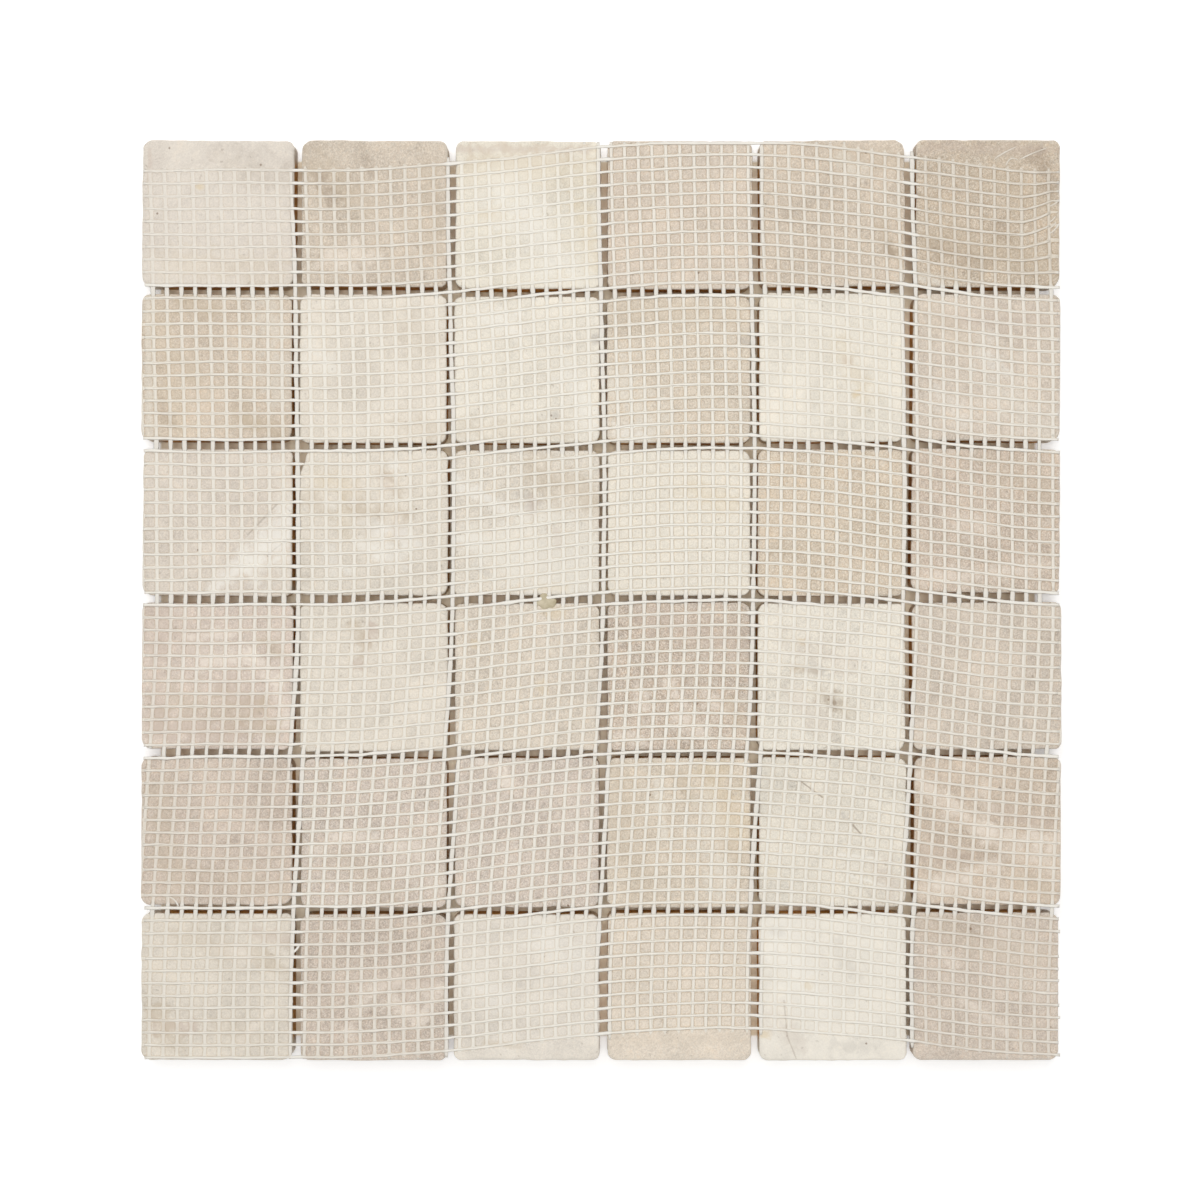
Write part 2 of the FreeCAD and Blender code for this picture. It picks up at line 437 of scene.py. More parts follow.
@dataclass
class NetLayout:
    """Where the yarns of the netting lie: the sizes of the solid model, and a small wander.

    At the right end of a few wefts near the top, a hand has pulled the netting up.
    """

    tile_side: float = 48.3
    joint_width: float = 2.5
    rows: int = 6
    columns: int = 6
    stone_back: float = 10.0
    warp_thickness: float = 0.22
    weft_thickness: float = 0.20
    warp_spacing: float = 4.49
    warp_spread: float = 0.16
    spread_from: float = -10.0
    weft_spacing: float = 4.163
    net_head: float = 9.75
    net_foot: float = 1.1
    net_edge: float = 0.9
    warp_overhang: float = 2.2
    bow_rise: float = 9.5
    bow_centre: float = 40.0
    bow_reach: float = 130.0
    weft_sag: float = 1.0
    lean_head: float = 2.0
    lean_foot: float = 6.9
    warp_offset: float = 0.5
    wander: tuple[float, float] = (0.075, 0.06)
    wander_seed: int = 11
    pull_rise: float = 4.0
    pull_from: float = 138.0
    pull_run: float = 10.0
    pull_middle: float = 124.0
    pull_reach: float = 22.0
    shoves: tuple = ((0.0, 0.0, 300.0, 300.0, 0.3, 0.0), (135.0, 125.0, 45.0, 90.0, 0.0, -1.6),
                     (140.0, 60.0, 35.0, 90.0, -0.5, 0.0), (140.0, -25.0, 35.0, 80.0, 0.0, -0.9),
                     (-140.0, -70.0, 45.0, 90.0, 0.9, -0.6), (-20.0, -60.0, 50.0, 60.0, 0.0, 1.5))

    def __post_init__(self) -> None:
        """Work out the half sizes of the sheet, the count of wefts and the waves of the wander."""
        pitch = self.tile_side + self.joint_width
        self.half_x = (self.columns * pitch - self.joint_width) / 2
        self.half_y = (self.rows * pitch - self.joint_width) / 2
        run = 2 * self.half_y - self.net_head - self.net_foot
        self.wefts = 1 + int(run / self.weft_spacing)
        self.pitch = pitch
        random = np.random.default_rng(self.wander_seed)
        self.waves = random.uniform((-0.16, 0.03, 0.0), (0.16, 0.17, 2 * math.pi), (2, 5, 3))

    def drift(self, across: Array, along: Array, kind: int) -> Array:
        """How far the glue let the yarns stray: long seeded waves, the shoves, and the pull.

        A shove gives its place, its reach and its shift, both ways, and fades as a bell curve.
        The pull is a power of the distance past its start, times a squared cosine in height.

        Args:
            across: Place across the yarns.
            along: Place along them.
            kind: 0 for warps and 1 for wefts.

        Returns:
            Distance across the yarns.
        """
        across, along = np.broadcast_arrays(across, along)
        waves = self.waves[kind][:, :, None]
        phase = waves[:, 0] * across.ravel() + waves[:, 1] * along.ravel() + waves[:, 2]
        stray = self.wander[kind] * np.sin(phase).sum(0).reshape(across.shape)
        x, y = (across, along) if kind == 0 else (along, across)
        for middle_x, middle_y, reach_x, reach_y, *shift in self.shoves:
            near = np.exp(-((x - middle_x) / reach_x) ** 2 - ((y - middle_y) / reach_y) ** 2)
            stray = stray + shift[kind] * near
        if kind == 1:
            away = np.clip((across - self.pull_middle) / self.pull_reach, -1, 1)
            share = ((along - self.pull_from) / self.pull_run).clip(0, 1) ** 1.3
            stray = stray + self.pull_rise * share * np.cos(away * math.pi / 2) ** 2
        return stray

    def bow(self, x: Array) -> Array:
        """How far a weft is pulled up at x: a squared cosine about the bow's centre."""
        away = np.clip((x - self.bow_centre) / self.bow_reach, -1, 1)
        return self.bow_rise * np.cos(away * math.pi / 2) ** 2

    def weft_y(self, number: Array, x: Array) -> Array:
        """Height in the sheet of wefts at x.

        Args:
            number: Number of the weft from the top, fractions between two wefts.
            x: Place across the sheet.

        Returns:
            y of the level weft, with its sag, its bow and its wander.
        """
        level = self.half_y - self.net_head - number * self.weft_spacing
        level = level - self.weft_sag * np.sin(np.pi * number / (self.wefts - 1))
        y = level + self.bow(x)
        return y + self.drift(y, x, 1)

    def warp_x(self, number: Array, y: Array) -> Array:
        """Place across the sheet of warps at y.

        Args:
            number: Number of the warp from the middle one, fractions between two warps.
            y: Height in the sheet.

        Returns:
            x of the evenly spaced warp, with its lean and its wander.
        """
        crowd = (self.warp_spacing * number
                 + self.warp_spread * np.minimum(number - self.spread_from, 0))
        x = self.warp_offset + crowd - self.lean(y) * (1 - crowd / 2000)
        return x + self.drift(x, y, 0)

    def lean(self, y: Array) -> Array:
        """How far the warps lean to the left at y, at the head and at the foot."""
        head = ease((y - self.half_y / 3) / (0.73 * self.half_y))
        foot = ease((0.08 * self.half_y - y) / (0.98 * self.half_y))
        return self.lean_head * head + self.lean_foot * foot

    def phases(self, x: Array, y: Array) -> tuple[Array, Array]:
        """Numbers of the warp and of the weft at places in the sheet, the inverse of the above.

        Args:
            x: Place across the sheet.
            y: Height in the sheet.

        Returns:
            Number of the warp and number of the weft, with fractions between two yarns.
        """
        level = y
        for _ in range(4):
            level = y - self.drift(level, x, 1)
        count = (self.half_y - self.net_head + self.bow(x) - level) / self.weft_spacing
        weft = count
        for _ in range(3):
            weft = count - self.weft_sag / self.weft_spacing * np.sin(
                np.pi * weft / (self.wefts - 1))
        lean = self.lean(y)
        crowd = (x - self.drift(x, y, 0) - self.warp_offset + lean) / (1 + lean / 2000)
        spread_at = self.warp_spacing * self.spread_from
        wide = self.warp_spacing + self.warp_spread
        warp = np.where(crowd >= spread_at, crowd / self.warp_spacing,
                        self.spread_from + (crowd - spread_at) / wide)
        return warp, weft

    def warp_ends(self, number: int) -> Union[tuple[float, float], None]:
        """Lowest and highest y of a warp inside the edges of the sheet.

        Args:
            number: Number of the warp.

        Returns:
            The two heights, or None for a warp that misses the sheet.
        """
        ends = np.array([-self.half_y, self.half_y])
        places = self.warp_x(np.full(2, float(number)), ends)
        last = np.array([self.wefts - 1.0, 0.0])
        foot, top = self.weft_y(last, places) + np.array([-1, 1]) * self.warp_overhang
        top = min(top, self.half_y - self.net_edge / 2)
        foot = max(foot, self.net_edge / 2 - self.half_y)
        steps = np.linspace(foot, top, 201)
        inside = steps[np.abs(self.warp_x(number, steps)) < self.half_x - self.net_edge]
        return (inside[0], inside[-1]) if len(inside) > 20 else None


@dataclass
class Chip:
    """One tumbled chip of marble, lying face down."""

    row: int
    column: int
    finish: StoneFinish
    corner_radius: float = 2.9
    arris_radius: float = 0.75
    thickness: float = 10.0
    wobble: float = 0.10
    side_points: int = 30
    arc_points: int = 9
    broken_corner: tuple[float, float] = (0.0, 0.0)

    def __post_init__(self) -> None:
        """Read the place, the turn and the sides of the chip from its node."""
        self.node = f"tile_r{self.row}_c{self.column}"
        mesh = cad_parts[self.node].data
        points = np.empty(3 * len(mesh.vertices), np.float32)
        mesh.vertices.foreach_get("co", points)
        points = points.reshape(-1, 3).astype(float) / MM
        edges = np.empty(2 * len(mesh.edges), np.int32)
        mesh.edges.foreach_get("vertices", edges)
        start, end = points[edges.reshape(-1, 2)].transpose(1, 0, 2)
        run = end - start
        on_side = ((np.abs(run[:, 2]) < 0.01) & (start[:, 2] > 0.2)
                   & (start[:, 2] < self.thickness - 0.2))
        longest = run[on_side][np.argmax(np.hypot(*run[on_side].T[:2]))]
        turn = math.atan2(longest[1], longest[0])
        self.turn = turn - round(turn / (math.pi / 2)) * math.pi / 2
        own = self.to_chip(points[:, :2], np.zeros(2))
        middle = (own.min(0) + own.max(0)) / 2
        self.half = (own.max(0) - own.min(0)) / 2
        self.centre = self.to_sheet(middle[None], np.zeros(2))[0]
        self.random = np.random.default_rng(100 * self.row + self.column)

    def to_chip(self, points: Array, centre: Array) -> Array:
        """Places of the sheet in the chip's own turned axes.

        Args:
            points: Places in the sheet.
            centre: Centre of the chip.

        Returns:
            Places about that centre.
        """
        cos, sin = math.cos(self.turn), math.sin(self.turn)
        return (points - centre) @ np.array([[cos, -sin], [sin, cos]])

    def to_sheet(self, points: Array, centre: Array) -> Array:
        """The reverse of to_chip.

        Args:
            points: Places in the chip's own axes.
            centre: Centre of the chip.

        Returns:
            Places in the sheet.
        """
        cos, sin = math.cos(self.turn), math.sin(self.turn)
        return points @ np.array([[cos, sin], [-sin, cos]]) + centre

    def waves(self, count: int, lowest: int, highest: int) -> Array:
        """Seeded wave round the chip that closes on itself, about one high and low.

        Args:
            count: Number of points round the chip.
            lowest: Fewest turns of its waves.
            highest: Most turns of its waves.

        Returns:
            One value for each point.
        """
        turns = np.arange(lowest, highest)
        weight = self.random.normal(size=len(turns)) / math.sqrt(len(turns))
        phase = self.random.uniform(0, 2 * math.pi, len(turns))
        angle = np.linspace(0, 2 * math.pi, count, endpoint=False)
        return np.sin(np.outer(angle, turns) + phase) @ weight

    def outline(self) -> Array:
        """Plan of the chip: straight sides and a quarter arc at each corner, anticlockwise.

        Returns:
            Points in the chip's own axes.
        """
        blocks = []
        radii = self.corner_radius * self.random.uniform(0.82, 1.3, 4)
        signs = np.array([(1, -1), (1, 1), (-1, 1), (-1, -1)])
        for number, (sign, radius) in enumerate(zip(signs, radii)):
            angle = (number - 1) * math.pi / 2 + np.linspace(0, math.pi / 2, self.arc_points)
            centre = sign * (self.half - radius)
            arc = centre + radius * np.stack([np.cos(angle), np.sin(angle)], 1)
            if any(self.broken_corner) and tuple(sign) == (-1, 1):
                arc = self.breakage(arc[0], arc[-1])
            blocks.append(arc)
        points = []
        for number, arc in enumerate(blocks):
            following = blocks[(number + 1) % 4][0]
            share = np.linspace(0, 1, self.side_points + 2)[1:-1, None]
            points += [arc, arc[-1] + share * (following - arc[-1])]
        return np.vstack(points)

    def breakage(self, start: Array, end: Array) -> Array:
        """Uneven line of a corner that has broken off.

        Args:
            start: Where the rounded corner would start.
            end: Where it would end.

        Returns:
            As many points as a rounded corner has.
        """
        along, down = self.broken_corner
        first = np.array([-self.half[0] + along, self.half[1]])
        last = np.array([-self.half[0], self.half[1] - down])
        share = np.linspace(0, 1, self.arc_points)[:, None]
        bite = 0.35 * np.sin(share * math.pi) + 0.12 * np.sin(share * math.pi * 5)
        return first + share * (last - first) + bite * np.array([0.9, -0.4])

    def build(self, net: NetLayout, material: bpy.types.Material) -> bpy.types.Object:
        """Build the chip as rings from the middle of its back to the middle of its face.

        The back is flat out to the arris, a quarter round whose radius changes round the chip
        and grows where a splinter has left. The wall is uneven at the back and evens out
        towards the face, and the other arris and the face mirror the first.

        Args:
            net: Layout of the netting, for the glue that the stone shows beside the yarns.
            material: Stone of the chip.

        Returns:
            The piece.
        """
        plan = self.outline()
        count = len(plan)
        normal = self.outward(plan)
        uneven = self.wobble * (0.6 * self.waves(count, 2, 12) + 0.5 * self.waves(count, 12, 45))
        uneven = np.clip(uneven + self.wobble, 0, 3 * self.wobble)[:, None]
        widest = plan - normal * uneven * 0.2
        plan = plan - normal * uneven
        rings = []
        back = self.arris(count)
        flat = plan - normal * back[:, None]
        for share in (0.12, 0.28, 0.42, 0.55, 0.67, 0.77, 0.86, 0.93, 0.97):
            rings.append((flat * share, np.full(count, self.thickness)))
        for angle in np.radians((0, 18, 36, 54, 72, 90)):
            inset = back * (1 - math.sin(angle))
            rings.append((plan - normal * inset[:, None],
                          self.thickness - back * (1 - math.cos(angle))))
        face = self.arris(count)
        for share in (0.25, 0.5, 0.75):
            dent = 0.07 * (self.waves(count, 3, 40) - 1)
            height = (self.thickness - back) * (1 - share) + face * share
            wall = plan + share * (widest - plan)
            rings.append((wall + normal * np.minimum(dent, 0)[:, None], height))
        for angle in np.radians((90, 67, 45, 22, 0)):
            inset = face * (1 - math.sin(angle))
            rings.append((widest - normal * inset[:, None], face * (1 - math.cos(angle))))
        under = widest - normal * face[:, None]
        for share in (0.9, 0.6, 0.25):
            rings.append((under * share, np.zeros(count)))
        surface = self.closed(rings, net)
        piece = surface.make(f"chip_r{self.row}_c{self.column}", material, self.finish.tone.slot)
        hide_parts(self.node)
        return piece

    def outward(self, plan: Array) -> Array:
        """Smoothed outward normals of a closed anticlockwise plan.

        Args:
            plan: Points round the plan.

        Returns:
            Unit vectors.
        """
        along = sum(np.roll(plan, -step, 0) - np.roll(plan, step, 0) for step in (1, 2))
        along /= np.linalg.norm(along, axis=1)[:, None]
        return np.stack([along[:, 1], -along[:, 0]], 1)

    def arris(self, count: int) -> Array:
        """Radius of a worn arris round the chip, with a few splintered places.

        Args:
            count: Number of points round the chip.

        Returns:
            Radii in millimetres.
        """
        radius = self.arris_radius * (1 + 0.28 * self.waves(count, 2, 30))
        place = np.arange(count)
        for _ in range(self.random.integers(3, 8)):
            away = (place - self.random.integers(count) + count / 2) % count - count / 2
            depth, reach = self.random.uniform(0.3, 1.1), self.random.uniform(0.8, 2)
            radius += depth * np.exp(-(away / reach) ** 2)
        return np.clip(radius, 0.4, 1.25)

    def closed(self, rings: Sequence[tuple[Array, Array]], net: NetLayout) -> Surface:
        """Join rings into one closed surface with a point at either end.

        Args:
            rings: Plans of the rings in the chip's axes, with their heights.
            net: Layout of the netting.

        Returns:
            The surface in the sheet, with the numbers of the yarns as its texture plane.
        """
        count = len(rings[0][0])
        levels = np.vstack([np.column_stack([plan, height]) for plan, height in rings])
        levels = np.vstack([levels, (0, 0, self.thickness), (0, 0, 0)])
        levels[:, :2] = self.to_sheet(levels[:, :2], self.centre)
        place = np.arange(count)
        after = (place + 1) % count
        start = np.arange(len(rings) - 1)[:, None] * count
        quads = np.stack([start + place, start + count + place,
                          start + count + after, start + after], 2).reshape(-1, 4)
        pole = len(rings) * count
        last = (len(rings) - 1) * count
        top = np.stack([np.full(count, pole), place, after], 1)
        foot = np.stack([np.full(count, pole + 1), last + after, last + place], 1)
        phase = np.stack(net.phases(levels[:, 0], levels[:, 1]), 1)
        faces = [quads, top, foot]
        return Surface(levels, faces, {"net": [phase[block] for block in faces]})


@dataclass
class Stone:
    """Procedural marble of one chip, with the glue that the netting left on its back."""

    chip: Chip
    net: NetLayout

    def shader(self) -> bpy.types.Material:
        """Make the material.

        The stone is its tone, lightened and darkened by clouds, mottling and grain, with its
        own markings. A lighter band on its arris is wear together with a painted highlight, and
        its walls inside the joints carry painted shade, dark brown, lighter where four chips
        meet. Beside the yarns, whose numbers are the texture plane, a film of glue lightens it,
        and a fine dark line of painted shade, the yarn's contact shadow, follows the edge of the
        film.

        Returns:
            The material.
        """
        chip, finish = self.chip, self.chip.finish
        shader = Shader(f"stone_r{chip.row}_c{chip.column}")
        place = shader.add("TexCoord", {}, {}, "Object")
        turn = 0.7 * chip.row + 1.9 * chip.column
        own = shader.add("Mapping", {}, {
            "Vector": place, "Rotation": (0.3, 0.2, turn),
            "Location": (0.31 * chip.row, 0.23 * chip.column, 0.17)})
        x, y, z = self.sheet_place(shader, place)
        clouds = shader.noise(own, 19, 4, 0.55, 0.8) - 0.5
        mottle = shader.noise(own, 4.2, 5, 0.6, 0.5) - 0.5
        grain = shader.noise(own, 1.1, 4, 0.75) - 0.5
        dust = shader.noise(own, 0.5, 1, 0.5) - 0.5
        wrinkle = shader.maths("ABSOLUTE", shader.noise(own, 1.9, 3, 0.62, 1.6) - 0.5)
        level = (finish.shade + clouds * (2 * finish.clouds) + mottle * (2 * finish.mottle)
                 + (grain + dust * 0.9) * (2 * finish.grain))
        colour = self.scaled(shader, finish.colour, level)
        warm = shader.step(mottle + clouds * 0.5, 0.02, 0.28)
        colour = shader.mix(warm * 0.35, colour, (1.0, 0.955, 0.89), "MULTIPLY")
        rosy = shader.step(grain + mottle * 0.3, 0.04, 0.24)
        colour = shader.mix(rosy * (2.0 * finish.grain), colour, (0.93, 0.87, 0.80), "MULTIPLY")
        # Pale flecks of the stone, which also stand in as painted sparkle of its crystals.
        fleck_and_sparkle = shader.maths("MAXIMUM", shader.step(dust + grain * 0.5, 0.08, 0.25),
                             shader.step(wrinkle, 0.05, 0.0))
        colour = shader.mix(fleck_and_sparkle * (1.1 * finish.grain), colour, Stain.PALE.value)
        out = shader.maths("MAXIMUM", shader.maths("ABSOLUTE", x), shader.maths("ABSOLUTE", y))
        x, y = x - float(chip.centre[0]), y - float(chip.centre[1])
        plain = colour
        for marking in finish.markings:
            colour = self.marked(shader, colour, marking, x, y, mottle)
        marks = shader.vector("SCALE", shader.vector("SUBTRACT", colour, plain), Scale=0.7)
        pits = shader.step(shader.noise(own, 1.7, 2, 0.5), 0.70, 0.76)
        colour = shader.mix(pits * 0.3, colour, Stain.CRACK.value)
        # Wear and painted highlight: a lighter band along the back arris, where the rounded edge catches the
        # light.
        worn_and_highlit = shader.step(z, 9.1, 9.5) * shader.step(z, 9.99, 9.8)
        colour = shader.mix(worn_and_highlit * 0.3, colour, Stain.PALE.value)
        # Painted shade: walls inside the joints are multiplied towards dark brown, less where four chips meet,
        # standing in for the shade and warm bounce light in the narrow joints.
        wall = shader.step(z, 9.5, 8.6) * shader.step(z, 0.3, 1.5)
        corner = shader.step(shader.maths("MINIMUM", shader.maths("ABSOLUTE", x),
                                          shader.maths("ABSOLUTE", y)), 18.5, 22.0)
        joint_shade_mask = wall * shader.step(out, 146.0, 142.5) * (1 - corner * 0.75)
        painted_joint_shade = shader.mix(shader.step(clouds + mottle * 0.4, -0.12, 0.2), (1.0, 0.66, 0.24),
                          (0.86, 0.45, 0.09))
        colour = shader.mix(joint_shade_mask, colour, painted_joint_shade, "MULTIPLY")
        film, rim = self.glue(shader, z, mottle, grain)
        film_colour = shader.vector("ADD", shader.mix(finish.film, plain, GLUE_COLOUR), marks)
        back = shader.step(z, 8.6, 9.6)
        spilt = max(finish.glue - 0.35, 0.0) * 0.85
        smear = back * shader.step(clouds + mottle * 0.5, -0.3, 0.2) * spilt
        colour = shader.mix(smear, colour, film_colour)
        colour = shader.mix(film, colour, film_colour)
        # Painted contact shadow: the fine dark line at the film's edge is multiplied darker, less where the yarns
        # lie deep in glue.
        colour = shader.mix(rim * (1 - 0.6 * finish.glue), colour, (0.84, 0.77, 0.68),
                            "MULTIPLY")
        rough = 0.64 + grain * 0.3 - film * 0.12 - smear * 0.14
        height = film * 0.05 + mottle * 0.12 + grain * 0.14 + dust * 0.05 - pits * 0.12
        return shader.surface({"Base Color": colour, "Roughness": rough, "IOR": 1.5,
                               "Specular IOR Level": 0.35}, height)

    def sheet_place(self, shader: Shader, place: Term) -> tuple[Term, Term, Term]:
        """Place on the sheet in millimetres.

        Args:
            shader: Shader of the stone.
            place: Place in metres.

        Returns:
            x, y and z.
        """
        node = shader.add("SeparateXYZ", {}, {0: place}).socket.node
        return tuple(Term(shader, output) * (1 / MM) for output in node.outputs)

    def scaled(self, shader: Shader, colour: Colour, level: Term) -> Term:
        """Colour made lighter or darker by a level."""
        return shader.vector("SCALE", colour, Scale=level)

    def marked(self, shader: Shader, colour: Term, marking: Marking, x: Term, y: Term,
               ragged: Term) -> Term:
        """Lay one marking over a colour.

        Args:
            shader: Shader of the stone.
            colour: Colour so far.
            marking: The marking.
            x: Place across the sheet.
            y: Height in the sheet.
            ragged: Noise about nought that frays the marking.

        Returns:
            The colour with the marking.
        """
        (x0, y0), (x1, y1) = marking.start, marking.end
        run = math.hypot(x1 - x0, y1 - y0) or 1.0
        along = ((x1 - x0) / run, (y1 - y0) / run)
        dx, dy = x - x0, y - y0
        reach = shader.add("Clamp", {}, {0: dx * along[0] + dy * along[1], 1: 0.0, 2: run})
        across = shader.maths("SQRT", (dx - reach * along[0]) ** 2 + (dy - reach * along[1]) ** 2)
        across = across / (marking.width * (1 + reach * ((marking.spread - 1) / run)))
        mask = shader.step(across + ragged * (4 * marking.ragged), 1.0, 1 - marking.soft)
        return shader.mix(mask * marking.strength, colour, marking.stain.value)

    def glue(self, shader: Shader, z: Term, mottle: Term, grain: Term) -> tuple[Term, Term]:
        """Film of glue beside the yarns, and the fine dark line at its edge, painted shade that stands
        in for the yarn's contact shadow along with the edge of the glue.

        The distance to the nearest warp and weft comes from the texture plane. Each yarn's film
        has a half width, the corners of an opening are rounded, and both fray a little.

        Args:
            shader: Shader of the stone.
            z: Height over the finished face.
            mottle: Noise about nought.
            grain: Finer noise about nought.

        Returns:
            Masks of the film and of the line.
        """
        net = self.net
        plane = shader.add("UVMap", {"uv_map": "net"}, {})
        node = shader.add("SeparateXYZ", {}, {0: plane}).socket.node
        warp, weft = (Term(shader, output) for output in list(node.outputs)[:2])
        to_warp = shader.maths("PINGPONG", warp, 0.5) * net.warp_spacing
        to_weft = shader.maths("PINGPONG", weft, 0.5) * net.weft_spacing
        fray = mottle * 0.35 + grain * 0.25
        beside = shader.maths("SMOOTH_MIN", to_warp - 0.57, to_weft - 0.48, 0.75) + fray
        netted = (shader.step(weft, -0.25, -0.1)
                  * shader.step(weft, net.wefts - 0.75, net.wefts - 0.9)
                  * shader.step(z, 9.5, 9.9))
        film = shader.step(beside, 0.10, -0.10) * netted
        # The line is painted shade: the yarn's contact shadow along the edge of the film.
        rim = shader.step(beside, -0.10, 0.05) * shader.step(beside, 0.36, 0.12) * netted
        return film, rim


@dataclass
class Netting:
    """Open netting of warps and wefts, one piece for each strip of the solid model."""

    net: NetLayout
    chips: Sequence[Chip]
    warp_width: float = 1.1
    weft_width: float = 0.76
    bedding: float = 0.05
    bedding_wet: float = 0.08
    slack: float = 0.38
    see_through: float = 0.5
    steps: int = 4
    seed: int = 5
    torn: tuple = ((146.0, 154.0, 49.2, 53.2), (146.0, 154.0, -1.0, 3.0),
                   (-154.0, -147.5, -53.0, -49.0))
    pulled: tuple[float, float, float] = (147.3, 112.5, 129.5)
    strand_width: float = 0.62
    strand_height: float = 0.17
    strands: tuple = (((128.9, 144.8), (131.9, 146.9), (136.5, 149.2)),
                      ((132.9, 142.8), (134.6, 145.2), (137.2, 144.6)),
                      ((137.2, 144.8), (141.8, 147.0), (146.4, 148.7)),
                      ((146.7, 129.4), (148.8, 130.3), (150.5, 131.7)),
                      ((146.8, 124.2), (148.2, 125.0), (149.3, 126.4)),
                      ((146.8, 122.1), (148.3, 123.1), (149.4, 124.5)),
                      ((146.8, 120.4), (148.8, 121.7), (150.3, 123.9)),
                      ((-99.2, -113.0), (-100.3, -114.7), (-101.8, -116.0)),
                      ((-142.4, -97.4), (-140.4, -98.4), (-139.0, -100.6)))
    warp_section: tuple = ((1.0, 0.35), (0.62, 0.98), (0.0, 0.66), (-0.62, 0.98),
                           (-1.0, 0.35), (-0.6, 0.0), (0.0, 0.08), (0.6, 0.0))
    weft_section: tuple = ((1.0, 0.4), (0.5, 0.98), (-0.5, 0.98), (-1.0, 0.4),
                           (-0.5, 0.0), (0.5, 0.0))

    def __post_init__(self) -> None:
        """Start the seeded draws."""
        self.random = np.random.default_rng(self.seed)

    def build(self, warp: bpy.types.Material, weft: bpy.types.Material) -> list[bpy.types.Object]:
        """Build every strip.

        Args:
            warp: Material of the warps.
            weft: Material of the wefts and of the loose strands.

        Returns:
            The pieces.
        """
        strips: dict[str, list[Surface]] = {}
        net = self.net
        reach = int(net.half_x / net.warp_spacing) + 3
        for number in range(-reach, reach + 1):
            ends = net.warp_ends(number)
            if ends is not None:
                middle = float(net.warp_x(np.array(float(number)), np.array(0.0)))
                column = 1 + int((middle + net.half_x + net.joint_width / 2) / net.pitch)
                column = min(max(column, 1), net.columns)
                strips.setdefault(f"warps_c{column}", []).extend(self.warp(number, ends))
        for number in range(net.wefts):
            row = 1 + int(number * net.rows / net.wefts)
            strips.setdefault(f"wefts_r{row}", []).append(self.weft(number))
        pieces = []
        for node, yarns in strips.items():
            material = warp if node.startswith("warps") else weft
            piece = yarns[0].joined(yarns[1:]).make("net_" + node, material, "netting")
            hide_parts(node)
            pieces.append(piece)
        loose = [self.strand(*route) for route in self.strands]
        pieces.append(loose[0].joined(loose[1:]).make("net_strands", weft, "netting"))
        return pieces

    def strand(self, start: Sequence[float], middle: Sequence[float],
               end: Sequence[float]) -> Surface:
        """Strand that has come out of its yarn: a parabola through three places on the back.

        Args:
            start: Where it starts.
            middle: Where it is halfway.
            end: Where it ends.

        Returns:
            The strand, thinner towards its ends.
        """
        start, middle, end = (np.array(place) for place in (start, middle, end))
        share = np.linspace(0, 1, 13)[:, None]
        bend = 2 * middle - (start + end) / 2
        path = (1 - share) ** 2 * start + 2 * share * (1 - share) * bend + share ** 2 * end
        path = np.column_stack([path, np.full(len(path), self.net.stone_back + 0.03)])
        taper = 0.35 + 0.65 * np.sin(math.pi * share[:, 0]) ** 0.5
        return self.yarn(path, self.strand_width / 2 * taper, self.strand_height * taper,
                         self.weft_section)

    def warp(self, number: int, ends: tuple[float, float]) -> list[Surface]:
        """One warp: two strands side by side, which the wefts pinch together a little.

        Past the first and the last weft its ends are thin and frayed.

        Args:
            number: Number of the warp.
            ends: Its lowest and highest y.

        Returns:
            The yarn, in more than one length where it is torn.
        """
        net = self.net
        phase = np.arange(-self.steps, (net.wefts + 1) * self.steps) / self.steps
        y = net.half_y - net.net_head - phase * net.weft_spacing
        for _ in range(3):
            y = net.weft_y(phase, net.warp_x(number, y))
        keep = (y > ends[0] + 0.4) & (y < ends[1] - 0.4)
        phase, y = phase[keep], y[keep]
        y = np.concatenate([[ends[1]], y, [ends[0]]])[::-1]
        phase = np.concatenate([[phase[0] - 0.2], phase, [phase[-1] + 0.2]])[::-1]
        x = net.warp_x(number, y) + self.strays(y, 0.10) + self.uneven(len(y), 0.045) - 1
        pinch = 0.5 + 0.5 * np.cos(2 * math.pi * phase)
        width = self.warp_width / 2 * (1.03 - 0.09 * pinch) * self.uneven(len(y), 0.09)
        path = np.column_stack([x, y, np.full(len(y), net.stone_back)])
        faint = 0.25 + 0.75 * ease((0.5 * np.ptp(y) - np.abs(y - (y[0] + y[-1]) / 2)) / 2.4)
        width = width * (0.4 + 0.6 * faint)
        height = net.warp_thickness * faint
        whole = np.ones(len(y), bool)
        for left, right, low, high in self.torn:
            whole &= (x < left) | (x > right) | (y < low) | (y > high)
        lengths = np.split(np.arange(len(y)), np.flatnonzero(np.diff(whole.astype(int))) + 1)
        return [self.yarn(path[part], width[part], height[part], self.warp_section)
                for part in lengths if whole[part[0]] and len(part) > 3]

